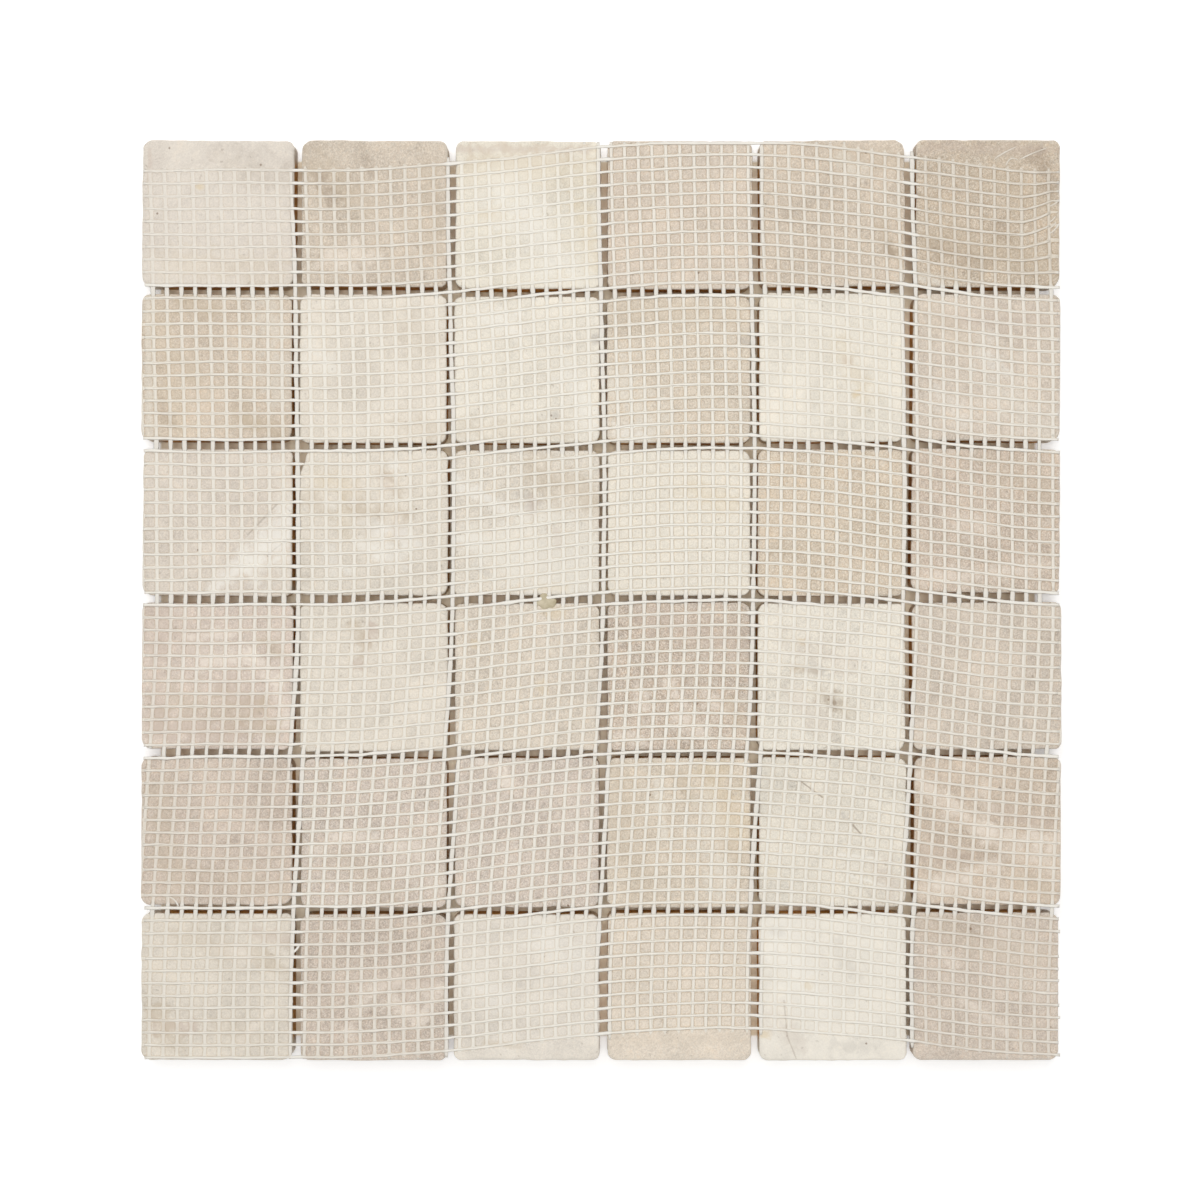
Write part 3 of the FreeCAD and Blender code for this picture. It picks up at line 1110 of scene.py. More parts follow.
    def weft(self, number: int) -> Surface:
        """One weft: it lies over the warps and dips towards the stone between them.

        Where the netting has been pulled, it ends at its last warp.

        Args:
            number: Number of the weft.

        Returns:
            The yarn.
        """
        net = self.net
        reach = int(net.half_x / net.warp_spacing) + 4
        phase = np.arange(-reach * self.steps, reach * self.steps + 1) / self.steps
        x = net.warp_x(phase, net.weft_y(float(number), net.warp_spacing * phase))
        for _ in range(2):
            x = net.warp_x(phase, net.weft_y(float(number), x))
        edge = net.half_x - net.net_edge / 2
        left = -edge + self.random.uniform(0, 0.7)
        right = edge - self.random.uniform(0, 0.7)
        tear, low, high = self.pulled
        if low < float(net.weft_y(float(number), np.array(tear))) < high:
            right = tear
        keep = (x > left + 0.4) & (x < right - 0.4)
        phase = np.concatenate([[phase[keep][0] - 0.1], phase[keep], [phase[keep][-1] + 0.1]])
        x = np.concatenate([[left], x[keep], [right]])
        stray = self.strays(x, 0.08) + self.uneven(len(x), 0.075) - 1
        y = np.minimum(net.weft_y(float(number), x) + stray, net.half_y - net.net_edge)
        over = (0.5 + 0.5 * np.cos(2 * math.pi * phase)) ** 0.7
        base = net.stone_back + net.warp_thickness * (0.25 + 0.75 * over)
        width = self.weft_width / 2 * (0.93 + 0.14 * over) * self.uneven(len(x), 0.12)
        return self.yarn(np.column_stack([x, y, base]), width,
                         np.full(len(x), net.weft_thickness), self.weft_section)

    def strays(self, along: Array, size: float) -> Array:
        """Small stray of one yarn of its own: an offset and two slow waves.

        Args:
            along: Places along the yarn.
            size: Size of the stray.

        Returns:
            Distance across the yarn.
        """
        offset, first, second, a, b = self.random.uniform(-1, 1, 5)
        return size * (0.5 * offset + first * np.sin(along / 17 + 9 * a)
                       + 0.6 * second * np.sin(along / 6.5 + 9 * b))

    def uneven(self, count: int, size: float) -> Array:
        """Unevenness of a yarn's width: smoothed seeded draws about one.

        Args:
            count: Number of values.
            size: Size of the unevenness.

        Returns:
            The values.
        """
        raw = self.random.normal(size=count + 4)
        return 1 + size * np.convolve(raw, np.array([1, 2, 3, 2, 1]) / 4.4, "valid")

    def yarn(self, path: Array, half_width: Array, height: Array, section: tuple) -> Surface:
        """Carry a section along a path of points, closed at both ends.

        Over a joint, where no glue has drawn it in, the yarn is wider by its slack.

        Args:
            path: Points under the middle of the yarn.
            half_width: Half its width at each point.
            height: Its height at each point.
            section: Points of the section, anticlockwise, from -1 to 1 across and 0 to 1 up.

        Returns:
            The yarn, with turns and length as its texture plane.
        """
        bonded, _, glue = self.ground(path)
        wet = bonded * glue
        half_width = half_width * (1 + self.slack * (1 - bonded))
        height = height * (1 - 0.2 * bonded)
        path = path.copy()
        path[:, 2] = (self.net.stone_back + (path[:, 2] - self.net.stone_back) * (1 - 0.6 * wet)
                      - self.bedding * bonded - self.bedding_wet * wet)
        along = np.gradient(path, axis=0)
        along[:, 2] = 0
        along /= np.linalg.norm(along, axis=1)[:, None]
        side = np.column_stack([along[:, 1], -along[:, 0], np.zeros(len(path))])
        across, up = np.array(section).T
        rings = (path[:, None] + side[:, None] * (half_width[:, None] * across)[..., None]
                 + (height[:, None] * up)[..., None] * np.array([0, 0, 1.0]))
        count, sides = len(path), len(section)
        points = rings.reshape(-1, 3)
        tips = path[[0, -1]] + np.array([0, 0, 0.45]) * height[[0, -1], None]
        points = np.vstack([points, tips])
        turn = np.arange(sides)
        after = (turn + 1) % sides
        start = np.arange(count - 1)[:, None] * sides
        quads = np.stack([start + turn, start + sides + turn,
                          start + sides + after, start + after], 2).reshape(-1, 4)
        last = (count - 1) * sides
        foot = np.stack([np.full(sides, count * sides), turn, after], 1)
        top = np.stack([np.full(sides, count * sides + 1), last + after, last + turn], 1)
        length = np.concatenate([[0], np.cumsum(np.linalg.norm(np.diff(path, axis=0), axis=1))])
        share, ahead = turn / sides, (turn + 1) / sides
        low, high = length[:-1, None], length[1:, None]
        around = np.broadcast_to(share, (count - 1, sides))
        beyond = np.broadcast_to(ahead, (count - 1, sides))
        near = np.broadcast_to(low, around.shape)
        far = np.broadcast_to(high, around.shape)
        plane = np.stack([np.stack([around, near], 2), np.stack([around, far], 2),
                          np.stack([beyond, far], 2), np.stack([beyond, near], 2)], 2)
        ends = [np.stack([np.stack([share, np.full(sides, at)], 1)] * 3, 1)
                for at in (length[0], length[-1])]
        bonded, under, _ = self.ground(points)
        return Surface(points, [quads, foot, top],
                       {"thread": [plane.reshape(-1, 4, 2), *ends]},
                       {"bonded": bonded, "under": under})

    def ground(self, points: Array) -> tuple[Array, Array, Array]:
        """What lies under points of the netting.

        Args:
            points: Places in the sheet.

        Returns:
            How far each is bonded to stone, nought over a joint and one on a chip, the colour
            of that stone under its film, and how much glue is on it.
        """
        bonded, glue = np.zeros(len(points)), np.zeros(len(points))
        under = np.tile((*linear(236, 233, 226), 1.0), (len(points), 1))
        for chip in self.chips:
            away = np.abs(chip.to_chip(points[:, :2], chip.centre)) - chip.half
            inside = -away.max(1)
            on_chip = inside > 0
            if not on_chip.any():
                continue
            bonded = np.maximum(bonded, ease((inside - 0.2) / 1.4))
            stone = np.array(chip.finish.colour) * chip.finish.shade
            stone = stone + (np.array(GLUE_COLOUR) - stone) * chip.finish.film
            colour = np.tile(stone, (on_chip.sum(), 1))
            for marking in chip.finish.markings:
                share = self.see_through * marking.covers(points[on_chip, :2] - chip.centre)
                colour += (np.array(marking.stain.value) - colour) * share[:, None]
            under[on_chip, :3] = colour
            glue[on_chip] = chip.finish.glue
        return bonded, under, glue

    def shader(self, finish: YarnFinish) -> bpy.types.Material:
        """Glass-fibre yarn soaked in glue: fine filaments along it, clearer where it is bonded.

        Args:
            finish: Finish of the yarn.

        Returns:
            The material.
        """
        shader = Shader(f"netting_{finish.name.lower()}")
        dull, bright, painted_bright_share = finish.value
        plane = shader.add("UVMap", {"uv_map": "thread"}, {})
        drawn = shader.vector("MULTIPLY", plane, (9.0, 0.35, 1.0))
        filament = shader.add("TexNoise", {}, {"Vector": drawn, "Scale": 1.0, "Detail": 2.0,
                                               "Roughness": 0.6}) - 0.5
        place = shader.add("TexCoord", {}, {}, "Object")
        lumps = shader.noise(place, 2.2, 3, 0.6) - 0.5
        bonded = shader.add("Attribute", {"attribute_name": "bonded"}, {}, "Fac")
        under = shader.add("Attribute", {"attribute_name": "under"}, {}, "Color")
        fibre = shader.mix(0.5 + filament * 0.9, dull, bright)
        # Painted highlight: the share of pale white on bonded yarn is larger for the wefts, which lie on top.
        soaked = shader.mix(painted_bright_share + lumps * 1.1 + filament * 0.5, under, linear(245, 241, 231))
        colour = shader.mix(bonded * 0.9, fibre, soaked)
        rough = 0.52 + lumps * 0.3 - bonded * 0.08
        height = filament * 0.04 + lumps * 0.03
        return shader.surface({"Base Color": colour, "Roughness": rough, "IOR": 1.47,
                               "Specular IOR Level": 0.4}, height)


@dataclass
class GlueDrip:
    """Drip of glue that has run into a joint and dried between two chips."""

    centre: tuple[float, float] = (-18.2, -0.4)
    half: tuple[float, float] = (3.3, 2.5)
    top: float = 10.38
    foot: float = 8.6
    turns: int = 40
    seed: int = 3

    def build(self, material: bpy.types.Material) -> bpy.types.Object:
        """Build the drip from the middle of its top, over its edge, to the middle of its foot.

        A place at radius r and turn t lies at the outline's reach at t times r. The top falls
        away as the fourth power of r, and the foot is a shallower bowl.

        Args:
            material: Dried glue.

        Returns:
            The piece.
        """
        random = np.random.default_rng(self.seed)
        turn = np.linspace(0, 2 * math.pi, self.turns, endpoint=False)
        lobes = np.arange(2, 7)
        weight, phase = random.uniform(0.3, 1, 5), random.uniform(0, 2 * math.pi, 5)
        reach = 1 + 0.09 * np.sin(np.outer(turn, lobes) + phase) @ weight
        outline = np.column_stack([np.cos(turn), np.sin(turn)]) * reach[:, None] * self.half
        rim = self.top - 0.42
        shares = (0.3, 0.55, 0.75, 0.9, 1.0)
        levels = [(share, self.top - 0.42 * share ** 4) for share in shares]
        levels += [(share, rim - (rim - self.foot) * (1 - share ** 4)) for share in (0.9, 0.7, 0.4)]
        ripple = 0.04 * np.sin(3 * turn + phase[0])
        rings = [np.column_stack([outline * share + self.centre, height + ripple * share])
                 for share, height in levels]
        points = np.vstack([*rings, (*self.centre, self.top), (*self.centre, self.foot)])
        place = np.arange(self.turns)
        after = (place + 1) % self.turns
        start = np.arange(len(rings) - 1)[:, None] * self.turns
        quads = np.stack([start + place, start + self.turns + place,
                          start + self.turns + after, start + after], 2).reshape(-1, 4)
        pole = len(rings) * self.turns
        last = pole - self.turns
        head = np.stack([np.full(self.turns, pole), place, after], 1)
        foot = np.stack([np.full(self.turns, pole + 1), last + after, last + place], 1)
        return Surface(points, [quads, head, foot]).make("glue_drip", material, "netting")

    def shader(self) -> bpy.types.Material:
        """Dried glue: dull and yellowish, cloudier in places.

        Returns:
            The material.
        """
        shader = Shader("dried_glue")
        place = shader.add("TexCoord", {}, {}, "Object")
        cloud = shader.noise(place, 2.6, 3, 0.6) - 0.5
        colour = shader.mix(0.45 + cloud * 3, linear(180, 168, 137), linear(208, 196, 170))
        return shader.surface({"Base Color": colour, "Roughness": 0.5 + cloud * 0.4, "IOR": 1.47,
                               "Specular IOR Level": 0.4}, cloud * 0.15)


@dataclass
class Studio:
    """Floor, light and camera."""

    camera_height: float = 870.0
    camera_place: tuple[float, float] = (-0.49, 0.16)
    lens: float = 78.5
    sensor: float = 36.0
    floor_side: float = 6000.0
    floor_white: float = 0.96
    floor_glow: float = 0.22
    painted_joint_bounce: Colour = (1.0, 0.89, 0.71)
    shade_edge: tuple[float, float] = (144.8, 145.8)
    shade_middle: tuple[float, float] = (-1.2, 0.6)
    sky: float = 0.485
    lamps: tuple = (("window", (-200.0, 900.0, 1500.0), 1400.0, 9.7),
                    ("overhead", (0.0, 0.0, 3000.0), 1000.0, 26.2))

    def build(self) -> None:
        """Set up the floor, the sky, the lamp and the camera."""
        self.floor()
        self.light()
        self.camera()
        bpy.context.scene.view_settings.view_transform = "Standard"

    def floor(self) -> None:
        """Plain white floor with a painted warm tint under the sheet, standing in for the warm light that
        the stone walls bounce into the joints; the glow that keeps the floor white stays off there.
        """
        half = self.floor_side / 2 * MM
        mesh = bpy.data.meshes.new("floor")
        mesh.from_pydata([(-half, -half, 0), (half, -half, 0), (half, half, 0), (-half, half, 0)],
                         [], [(0, 1, 2, 3)])
        floor = bpy.data.objects.new("floor", mesh)
        bpy.context.scene.collection.objects.link(floor)
        shader = Shader("white_floor")
        place = shader.add("SeparateXYZ", {}, {0: shader.add("TexCoord", {}, {}, "Object")})
        x, y = (shader.maths("ABSOLUTE", Term(shader, output) - middle * MM)
                for output, middle in zip(place.socket.node.outputs, self.shade_middle))
        # Painted light: under the sheet the floor is tinted warm for the light that the stone walls bounce into
        # the joints, and the glow is kept off there so the joints stay shaded.
        under = shader.step(shader.maths("MAXIMUM", x, y), self.shade_edge[1] * MM,
                            self.shade_edge[0] * MM)
        white = shader.mix(under, (self.floor_white,) * 3, self.painted_joint_bounce)
        rays = shader.add("LightPath", {}, {}).socket.node.outputs
        seen = [Term(shader, rays[name])
                for name in ("Is Camera Ray", "Is Glossy Ray", "Is Transmission Ray")]
        glow = shader.add("Emission", {}, {"Strength": (seen[0] + seen[1] + seen[2])
                                           * (1 - under) * self.floor_glow})
        plain = shader.add("BsdfDiffuse", {}, {"Color": white})
        shader.add_output(shader.add("AddShader", {}, {0: plain, 1: glow}))
        mesh.materials.append(shader.material)

    def light(self) -> None:
        """Even sky, a wide soft lamp beyond the upper edge, and a high one straight above."""
        world = bpy.data.worlds.new("sky")
        bpy.context.scene.world = world
        world.use_nodes = True
        background = world.node_tree.nodes["Background"]
        background.inputs["Color"].default_value = (1.0, 1.0, 1.0, 1.0)
        background.inputs["Strength"].default_value = self.sky
        for name, (x, y, z), side, watts in self.lamps:
            data = bpy.data.lights.new(name, "AREA")
            data.shape = "SQUARE"
            data.size = side * MM
            data.energy = watts
            lamp = bpy.data.objects.new(name, data)
            bpy.context.scene.collection.objects.link(lamp)
            lamp.location = (x * MM, y * MM, z * MM)
            lamp.rotation_euler = (-math.atan2(y, z), math.atan2(x, z), 0.0)

    def camera(self) -> None:
        """Camera that looks straight down on the sheet."""
        data = bpy.data.cameras.new("camera")
        data.lens = self.lens
        data.sensor_width = self.sensor
        data.clip_end = 20
        camera = bpy.data.objects.new("camera", data)
        bpy.context.scene.collection.objects.link(camera)
        x, y = self.camera_place
        camera.location = (x * MM, y * MM, self.camera_height * MM)
        bpy.context.scene.camera = camera


FINISHES: dict[tuple[int, int], StoneFinish] = {
    (1, 1): StoneFinish(Tone.CREAM, Undertone.LILAC, 0.94, clouds=0.12, mottle=0.1, grain=0.16, glue=1, film=0.42, markings=(
        spot(Stain.BROWN, -16, 21.5, 0.5),
        spot(Stain.BROWN, 14, 16, 0.5),
        spot(Stain.BROWN, -20, 0, 0.5),
        patch(Stain.OCHRE, -6, 9, -5.5, 9, 1.8, 0.68),
        streak(Stain.ROSY, -22.5, 21, -22.5, 9.5, 1.2, 0.5),
        patch(Stain.TAWNY, 3, 16, 24, 11, 8, 0.15),
        patch(Stain.OCHRE, -16, -18, 20, -18, 9, 0.18),
        patch(Stain.GREY, 8, 18, 23, 12, 8, 0.12),)),
    (1, 2): StoneFinish(Tone.SAND, Undertone.ROSY, 0.88, film=0.56, markings=(
        patch(Stain.TAWNY, 18, 14, 20, -12, 6, 0.3),
        patch(Stain.TAWNY, -20, 16, -6, 5, 8, 0.4),
        patch(Stain.BROWN, -17, 12, -14, 5, 3.6, 0.32),
        patch(Stain.BROWN, -3, 18, -1, 14, 3.2, 0.15),
        patch(Stain.MILK, -15, -15, -2, -14, 6, 0.5),)),
    (1, 3): StoneFinish(Tone.IVORY, Undertone.HONEY, 0.95, mottle=0.09, grain=0.22, glue=0.8, film=0.8, markings=(
        patch(Stain.OCHRE, -15, 0, -8, 0, 3, 0.3),
        patch(Stain.WHITE, -8, 8, 8, -13, 13, 0.4),
        patch(Stain.TAWNY, -18, 18, 22, 18, 4, 0.25),
        patch(Stain.OCHRE, 21.5, 21, 22, 21, 2, 0.54),
        patch(Stain.ROSY, -23.5, 21.5, 21, 21.5, 2.2, 0.54),
        patch(Stain.OCHRE, -16, 16, 22, 15, 10, 0.22),
        patch(Stain.OCHRE, 18, 3, 22, -15, 5, 0.3),)),
    (1, 4): StoneFinish(Tone.ROSE_TAN, Undertone.OLIVE, 1.05, mottle=0.12, glue=0.2, markings=(
        spot(Stain.BROWN, 6, -19, 0.55),
        patch(Stain.GREY, 7, 18, 15, 14, 6, 0.12),)),
    (1, 5): StoneFinish(Tone.SAND, Undertone.ROSY, 0.92, glue=0.3, film=0.6, markings=(
        spot(Stain.BROWN, 11, 20, 0.5),
        spot(Stain.BROWN, -21, 6.5, 0.5),
        patch(Stain.TAWNY, 2, 18, 24, 17, 6, 0.3),
        patch(Stain.PALE, 2, 17, 9, 14, 4, 0.35),
        patch(Stain.TAWNY, 17, -6, 21, -14, 4.4, 0.6),
        patch(Stain.BROWN, 18.5, -10.5, 19.5, -13, 2.8, 0.35),)),
    (1, 6): StoneFinish(Tone.TAN, Undertone.HONEY, 0.885, clouds=0.12, mottle=0.22, grain=0.38, glue=0.3, film=0.44, markings=(
        patch(Stain.ROSY, -21, 22, 21, 21, 3, 0.4),
        patch(Stain.BROWN, 17, 19, 21, 8, 6, 0.26),
        patch(Stain.BROWN, -17, -11, -3, -16, 5, 0.2),
        patch(Stain.BROWN, 3, -4, 5, -7, 4, 0.2),
        patch(Stain.TAWNY, -19, -8, 19, -16, 8, 0.35),
        patch(Stain.TAWNY, 4, 14, 20, 0, 10, 0.3),
        patch(Stain.PALE, -22, -20.5, -16, -22.5, 2.6, 0.4),)),
    (2, 1): StoneFinish(Tone.TAN, Undertone.PLAIN, 0.98, mottle=0.2, markings=(
        patch(Stain.OCHRE, -20, 16, -13, -20, 9, 0.15),
        patch(Stain.TAWNY, 10, -17, 13.5, -19.5, 2.8, 0.81),
        patch(Stain.TAWNY, -15, -18.5, -14, -18.5, 2.2, 0.68),
        streak(Stain.PALE, -22.5, 22.5, -22, -23.5, 2, 0.35),
        patch(Stain.PALE, 18, 19, 20, -7, 8, 0.3),
        patch(Stain.TAWNY, -12, 22, -2, 19, 5, 0.55),
        patch(Stain.BROWN, -18, -13, -15, -18, 3.6, 0.2),
        patch(Stain.TAWNY, -10, 2, -4, -8, 6, 0.35),
        patch(Stain.TAWNY, 8, -15, 19, -20, 5, 0.5),)),
    (2, 2): StoneFinish(Tone.CREAM, Undertone.PLAIN, 1.02, mottle=0.09, grain=0.2, glue=0.75, markings=(
        patch(Stain.PALE, -20, 3, -14, 0, 4, 0.35),
        patch(Stain.TAWNY, 10, -19, 22, -21, 6, 0.3),
        patch(Stain.TAWNY, 8, 16, 20, 8, 8, 0.2),
        patch(Stain.WHITE, -20, 9, -12, 0, 5, 0.22),)),
    (2, 3): StoneFinish(Tone.IVORY, Undertone.PLAIN, 1, mottle=0.09, grain=0.22, glue=0.6, film=0.8, markings=(
        patch(Stain.TAWNY, -21, -19, 12, -21, 6, 0.25),
        spot(Stain.BROWN, 8, -15, 0.5),
        spot(Stain.BROWN, 9.5, -16, 0.4),
        patch(Stain.WHITE, -3.5, 18.5, -2.5, 18.5, 2.2, 0.68),
        patch(Stain.GREY, 22.5, 9.5, 23.5, 9.5, 2.5, 0.68),
        patch(Stain.WHITE, -14, 19, -3, 13, 5, 0.4),
        patch(Stain.WHITE, 13, -2, 22, -17, 6, 0.35),
        patch(Stain.GREY, 7, -14.5, 9, -15, 2.3, 0.5),)),
    (2, 4): StoneFinish(Tone.SAND, Undertone.PLAIN, 1, grain=0.36, glue=0.2, film=0.82, markings=(
        patch(Stain.TAWNY, -21, 19, 20, 19, 8, 0.25),
        streak(Stain.GREY, 20, 10, 25.5, 7.5, 1.6, 0.4),
        patch(Stain.PALE, -21, -4, -9, -20, 11, 0.35),
        patch(Stain.WHITE, -21, -20, -13, -22, 5, 0.45),)),
    (2, 5): StoneFinish(Tone.IVORY, Undertone.PLAIN, 1.01, mottle=0.08, grain=0.18, glue=0.8, markings=(
        patch(Stain.OCHRE, 7.5, -8.5, 8, -8.5, 1.8, 0.68),
        patch(Stain.ROSY, 5, 2, 6, 2, 2.5, 0.41),
        patch(Stain.OCHRE, 3, 8, 11, -10, 6, 0.22),)),
    (2, 6): StoneFinish(Tone.SAND, Undertone.LILAC, 0.96, markings=(
        patch(Stain.WHITE, -1, 3, 4, -2, 5, 0.28),
        patch(Stain.WHITE, -16, -9, -8, -17, 5, 0.25),
        patch(Stain.ROSY, -12, 16, 17, 15, 6, 0.3),
        patch(Stain.PALE, 4, -8, 19, -20, 9, 0.25),
        patch(Stain.WHITE, 0, 11, 2, 4, 4, 0.2),
        patch(Stain.TAWNY, -19, 19, -8, 8, 7, 0.25),)),
    (3, 1): StoneFinish(Tone.SAND, Undertone.SLATE, 1, grain=0.24, glue=0.65, markings=(
        streak(Stain.CRACK, 10, -4, 19.5, 6, 0.4, 0.6),
        streak(Stain.CRACK, 16.5, -10.5, 23, -5.5, 0.4, 0.6),
        spot(Stain.BROWN, 16.5, -11, 0.4),
        spot(Stain.BROWN, -6.5, -9, 0.4),
        wedge(Stain.WHITE, -2, -22, 24, 0, 3, 0.55),
        patch(Stain.PALE, 12, -13, 24, -18, 8, 0.35),
        patch(Stain.WHITE, 11, -16, 23, -6, 7, 0.3),
        patch(Stain.PALE, 21, 17, 24, 6, 4, 0.3),)),
    (3, 2): StoneFinish(Tone.CREAM, Undertone.PLAIN, 0.965, mottle=0.2, grain=0.22, glue=0.65, markings=(
        patch(Stain.ROSY, 4, 14, 5, 12, 4, 0.68),
        patch(Stain.OCHRE, -10, 4, -9, -4, 3.4, 0.18),
        patch(Stain.OCHRE, -16, 14, -8, 11, 5, 0.3),
        patch(Stain.TAWNY, -6, 11, -2, -6, 5, 0.25),
        patch(Stain.ROSY, 7, 1, 7, -4, 3.5, 0.61),
        spot(Stain.BROWN, 10.5, 15.5, 0.4),
        spot(Stain.BROWN, 14, 4.5, 0.4),
        patch(Stain.WHITE, 6, 19, 7.5, 19, 2, 0.68),
        patch(Stain.WHITE, -15.5, 6, -14, 6, 2.6, 0.45),
        patch(Stain.WHITE, -8.5, -15.5, -7.5, -15.5, 2.6, 0.45),
        patch(Stain.WHITE, -2, -1, 8, -12, 6, 0.4),
        patch(Stain.WHITE, -16, -7, -13, -17, 4, 0.3),
        patch(Stain.TAWNY, -6, 4, 10, 3, 3.6, 0.5),
        patch(Stain.TAWNY, -21, 9, -16, 4, 4, 0.35),
        patch(Stain.TAWNY, 3, 17, 8, 11, 3.6, 0.4),
        patch(Stain.WHITE, -4, -6, 1, -11, 3.6, 0.5),
        patch(Stain.WHITE, 5, -2, 13, -7, 4.4, 0.45),)),
    (3, 3): StoneFinish(Tone.CREAM, Undertone.PLAIN, 0.95, film=0.8, markings=(
        patch(Stain.ROSY, 2, 7.5, 2, 3.5, 2.8, 0.68),
        patch(Stain.ROSY, 10, -3, 10.5, -7, 2.6, 0.61),
        streak(Stain.GREY, -16.5, -14.5, -12.5, -16.5, 1.6, 0.3),
        patch(Stain.OCHRE, 5, -21.5, 12.5, -21.5, 2.6, 0.45),
        patch(Stain.WHITE, -23, 13, -6, 4, 3.4, 0.5),
        patch(Stain.PALE, -6, 4, 17, 1, 3.6, 0.45),
        patch(Stain.WHITE, -23, -6, -15, -6, 3.4, 0.35),
        wedge(Stain.PALE, -18, -6, 13, -15, 8, 0.5),
        patch(Stain.TAWNY, 2, 18, 22, 7, 9, 0.45),
        patch(Stain.GREY, -1, 9, 3, 5, 3.4, 0.35),)),
    (3, 4): StoneFinish(Tone.IVORY, Undertone.PLAIN, 1.015, clouds=0.1, mottle=0.1, grain=0.22, glue=0.3, film=0.8, markings=(
        patch(Stain.OCHRE, 4, 12, 16, 6, 6, 0.25),)),
    (3, 5): StoneFinish(Tone.TAN, Undertone.OLIVE, 1.055, mottle=0.12, grain=0.4, glue=0.2, film=0.82),
    (3, 6): StoneFinish(Tone.TAN, Undertone.LILAC, 0.97, clouds=0.3, mottle=0.22, grain=0.38, glue=0.3, markings=(
        patch(Stain.TAWNY, 4, 17, 20, 8, 9, 0.25),
        patch(Stain.MILK, -21, -19, 20, -15, 4, 0.38),
        patch(Stain.MILK, -11, 1, -1, -3, 5, 0.3),)),
    (4, 1): StoneFinish(Tone.ROSE_TAN, Undertone.LILAC, 0.965, mottle=0.22, markings=(
        patch(Stain.ROSY, -20, 19, -8, 11, 8, 0.5),
        patch(Stain.ROSY, 3, -4, 15, -12, 8, 0.6),
        patch(Stain.ROSY, -18, -16, 5, -19, 7, 0.6),
        patch(Stain.MILK, -10, 13, 4, 14, 3, 0.45),
        patch(Stain.MILK, -4, 5, 11, 7, 3.2, 0.45),
        patch(Stain.MILK, 12, 5, 19, -1, 3.8, 0.45),
        patch(Stain.MILK, 19, -1, 23, -16, 3.6, 0.4),
        patch(Stain.MILK, -8, 9, 10, 11, 8, 0.2),
        patch(Stain.ROSY, -20, 12, -19, -19, 5, 0.6),
        patch(Stain.TAWNY, -13, -8, 11, -14, 9, 0.35),
        patch(Stain.TAWNY, 15, 12, 21, 8, 4, 0.4),
        patch(Stain.TAWNY, 16, -9, 18, -19, 3.4, 0.5),)),
    (4, 2): StoneFinish(Tone.CREAM, Undertone.PLAIN, 0.98, mottle=0.12, grain=0.22, glue=0.7, markings=(
        patch(Stain.ROSY, -1, 17.5, -1, 13, 2.6, 0.68),
        patch(Stain.ROSY, -6.5, 4, -4, 4, 2.2, 0.54),
        spot(Stain.BROWN, 20, 1.5, 0.5),
        patch(Stain.TAWNY, -6, 16, -3, 10, 4.2, 0.5),)),
    (4, 3): StoneFinish(Tone.SAND, Undertone.ASH, 0.995, mottle=0.2, grain=0.36, film=0.82, markings=(
        patch(Stain.OCHRE, 7, 22, 11, 21, 3, 0.4),
        patch(Stain.OCHRE, -17, 11, -16, 11, 2, 0.4),
        patch(Stain.OCHRE, 5, -2.5, 5.5, -4, 2.6, 0.35),
        patch(Stain.GREY, 12, 12, 22, -7, 7, 0.15),)),
    (4, 4): StoneFinish(Tone.TAN, Undertone.LILAC, 0.9, mottle=0.24, grain=0.5, glue=0.1, film=0.9, markings=(
        patch(Stain.ROSY, -9, 19, 17, 12, 9, 0.35),
        spot(Stain.BROWN, 6, -9, 0.45),
        patch(Stain.MILK, -13, -5, -11, -11, 3.6, 0.45),
        patch(Stain.MILK, -3, -2, 0, -8, 3.6, 0.45),
        patch(Stain.MILK, 1, -14, 7, -18, 4.6, 0.5),
        patch(Stain.MILK, 9, -6, 15, -11, 3.6, 0.4),
        patch(Stain.MILK, -19, -20, -8, -21, 3.6, 0.4),
        patch(Stain.TAWNY, 16, -9, 20, -16, 4, 0.4),)),
    (4, 5): StoneFinish(Tone.IVORY, Undertone.PLAIN, 0.965, mottle=0.18, glue=0.7, film=0.8, markings=(
        patch(Stain.TAWNY, -12.5, 3, -9, 2.5, 2.2, 0.7),
        patch(Stain.TAWNY, -6, 2, -5.5, 2, 1.6, 0.7),
        patch(Stain.GREY, -1.5, 0.5, -1, 0.5, 1.6, 0.5),
        spot(Stain.BROWN, 1, -8.5, 1.1),
        spot(Stain.BROWN, -1, -7.5, 0.5),
        patch(Stain.OCHRE, -10.5, 12, -9.5, 12, 1.6, 0.68),
        patch(Stain.OCHRE, -7.5, -4.5, -7, -4.5, 1.6, 0.68),
        patch(Stain.CRACK, 1, -8, 1, -9, 3.4, 0.8),
        patch(Stain.TAWNY, -4, -5, 5, -11, 4.4, 0.3),
        patch(Stain.GREY, -8, 3, -2, 2, 3, 0.4),
        patch(Stain.ROSY, -13, 12, 5, 5, 7, 0.22),
        patch(Stain.ROSY, -12, -7, -2, -16, 6, 0.22),)),
    (4, 6): StoneFinish(Tone.SAND, Undertone.LILAC, 0.92, mottle=0.2),
    (5, 1): StoneFinish(Tone.ROSE_TAN, Undertone.ROSY, 0.9, clouds=0.32, film=0.56, markings=(
        patch(Stain.TAWNY, -19, 11, -15, -19, 7, 0.3),
        patch(Stain.TAWNY, -12, -14, 21, -19, 7, 0.25),)),
    (5, 2): StoneFinish(Tone.ROSE_TAN, Undertone.ASH, 0.935, mottle=0.2, grain=0.4, glue=0.3, film=0.84, markings=(
        patch(Stain.MILK, -20, -5, -10, -1, 3, 0.35),
        patch(Stain.MILK, -13, -1, 1, -2, 3, 0.35),
        patch(Stain.MILK, 1, -2, 22, -6, 3.6, 0.25),
        patch(Stain.TAWNY, -10, -7, 5, -21, 8, 0.2),
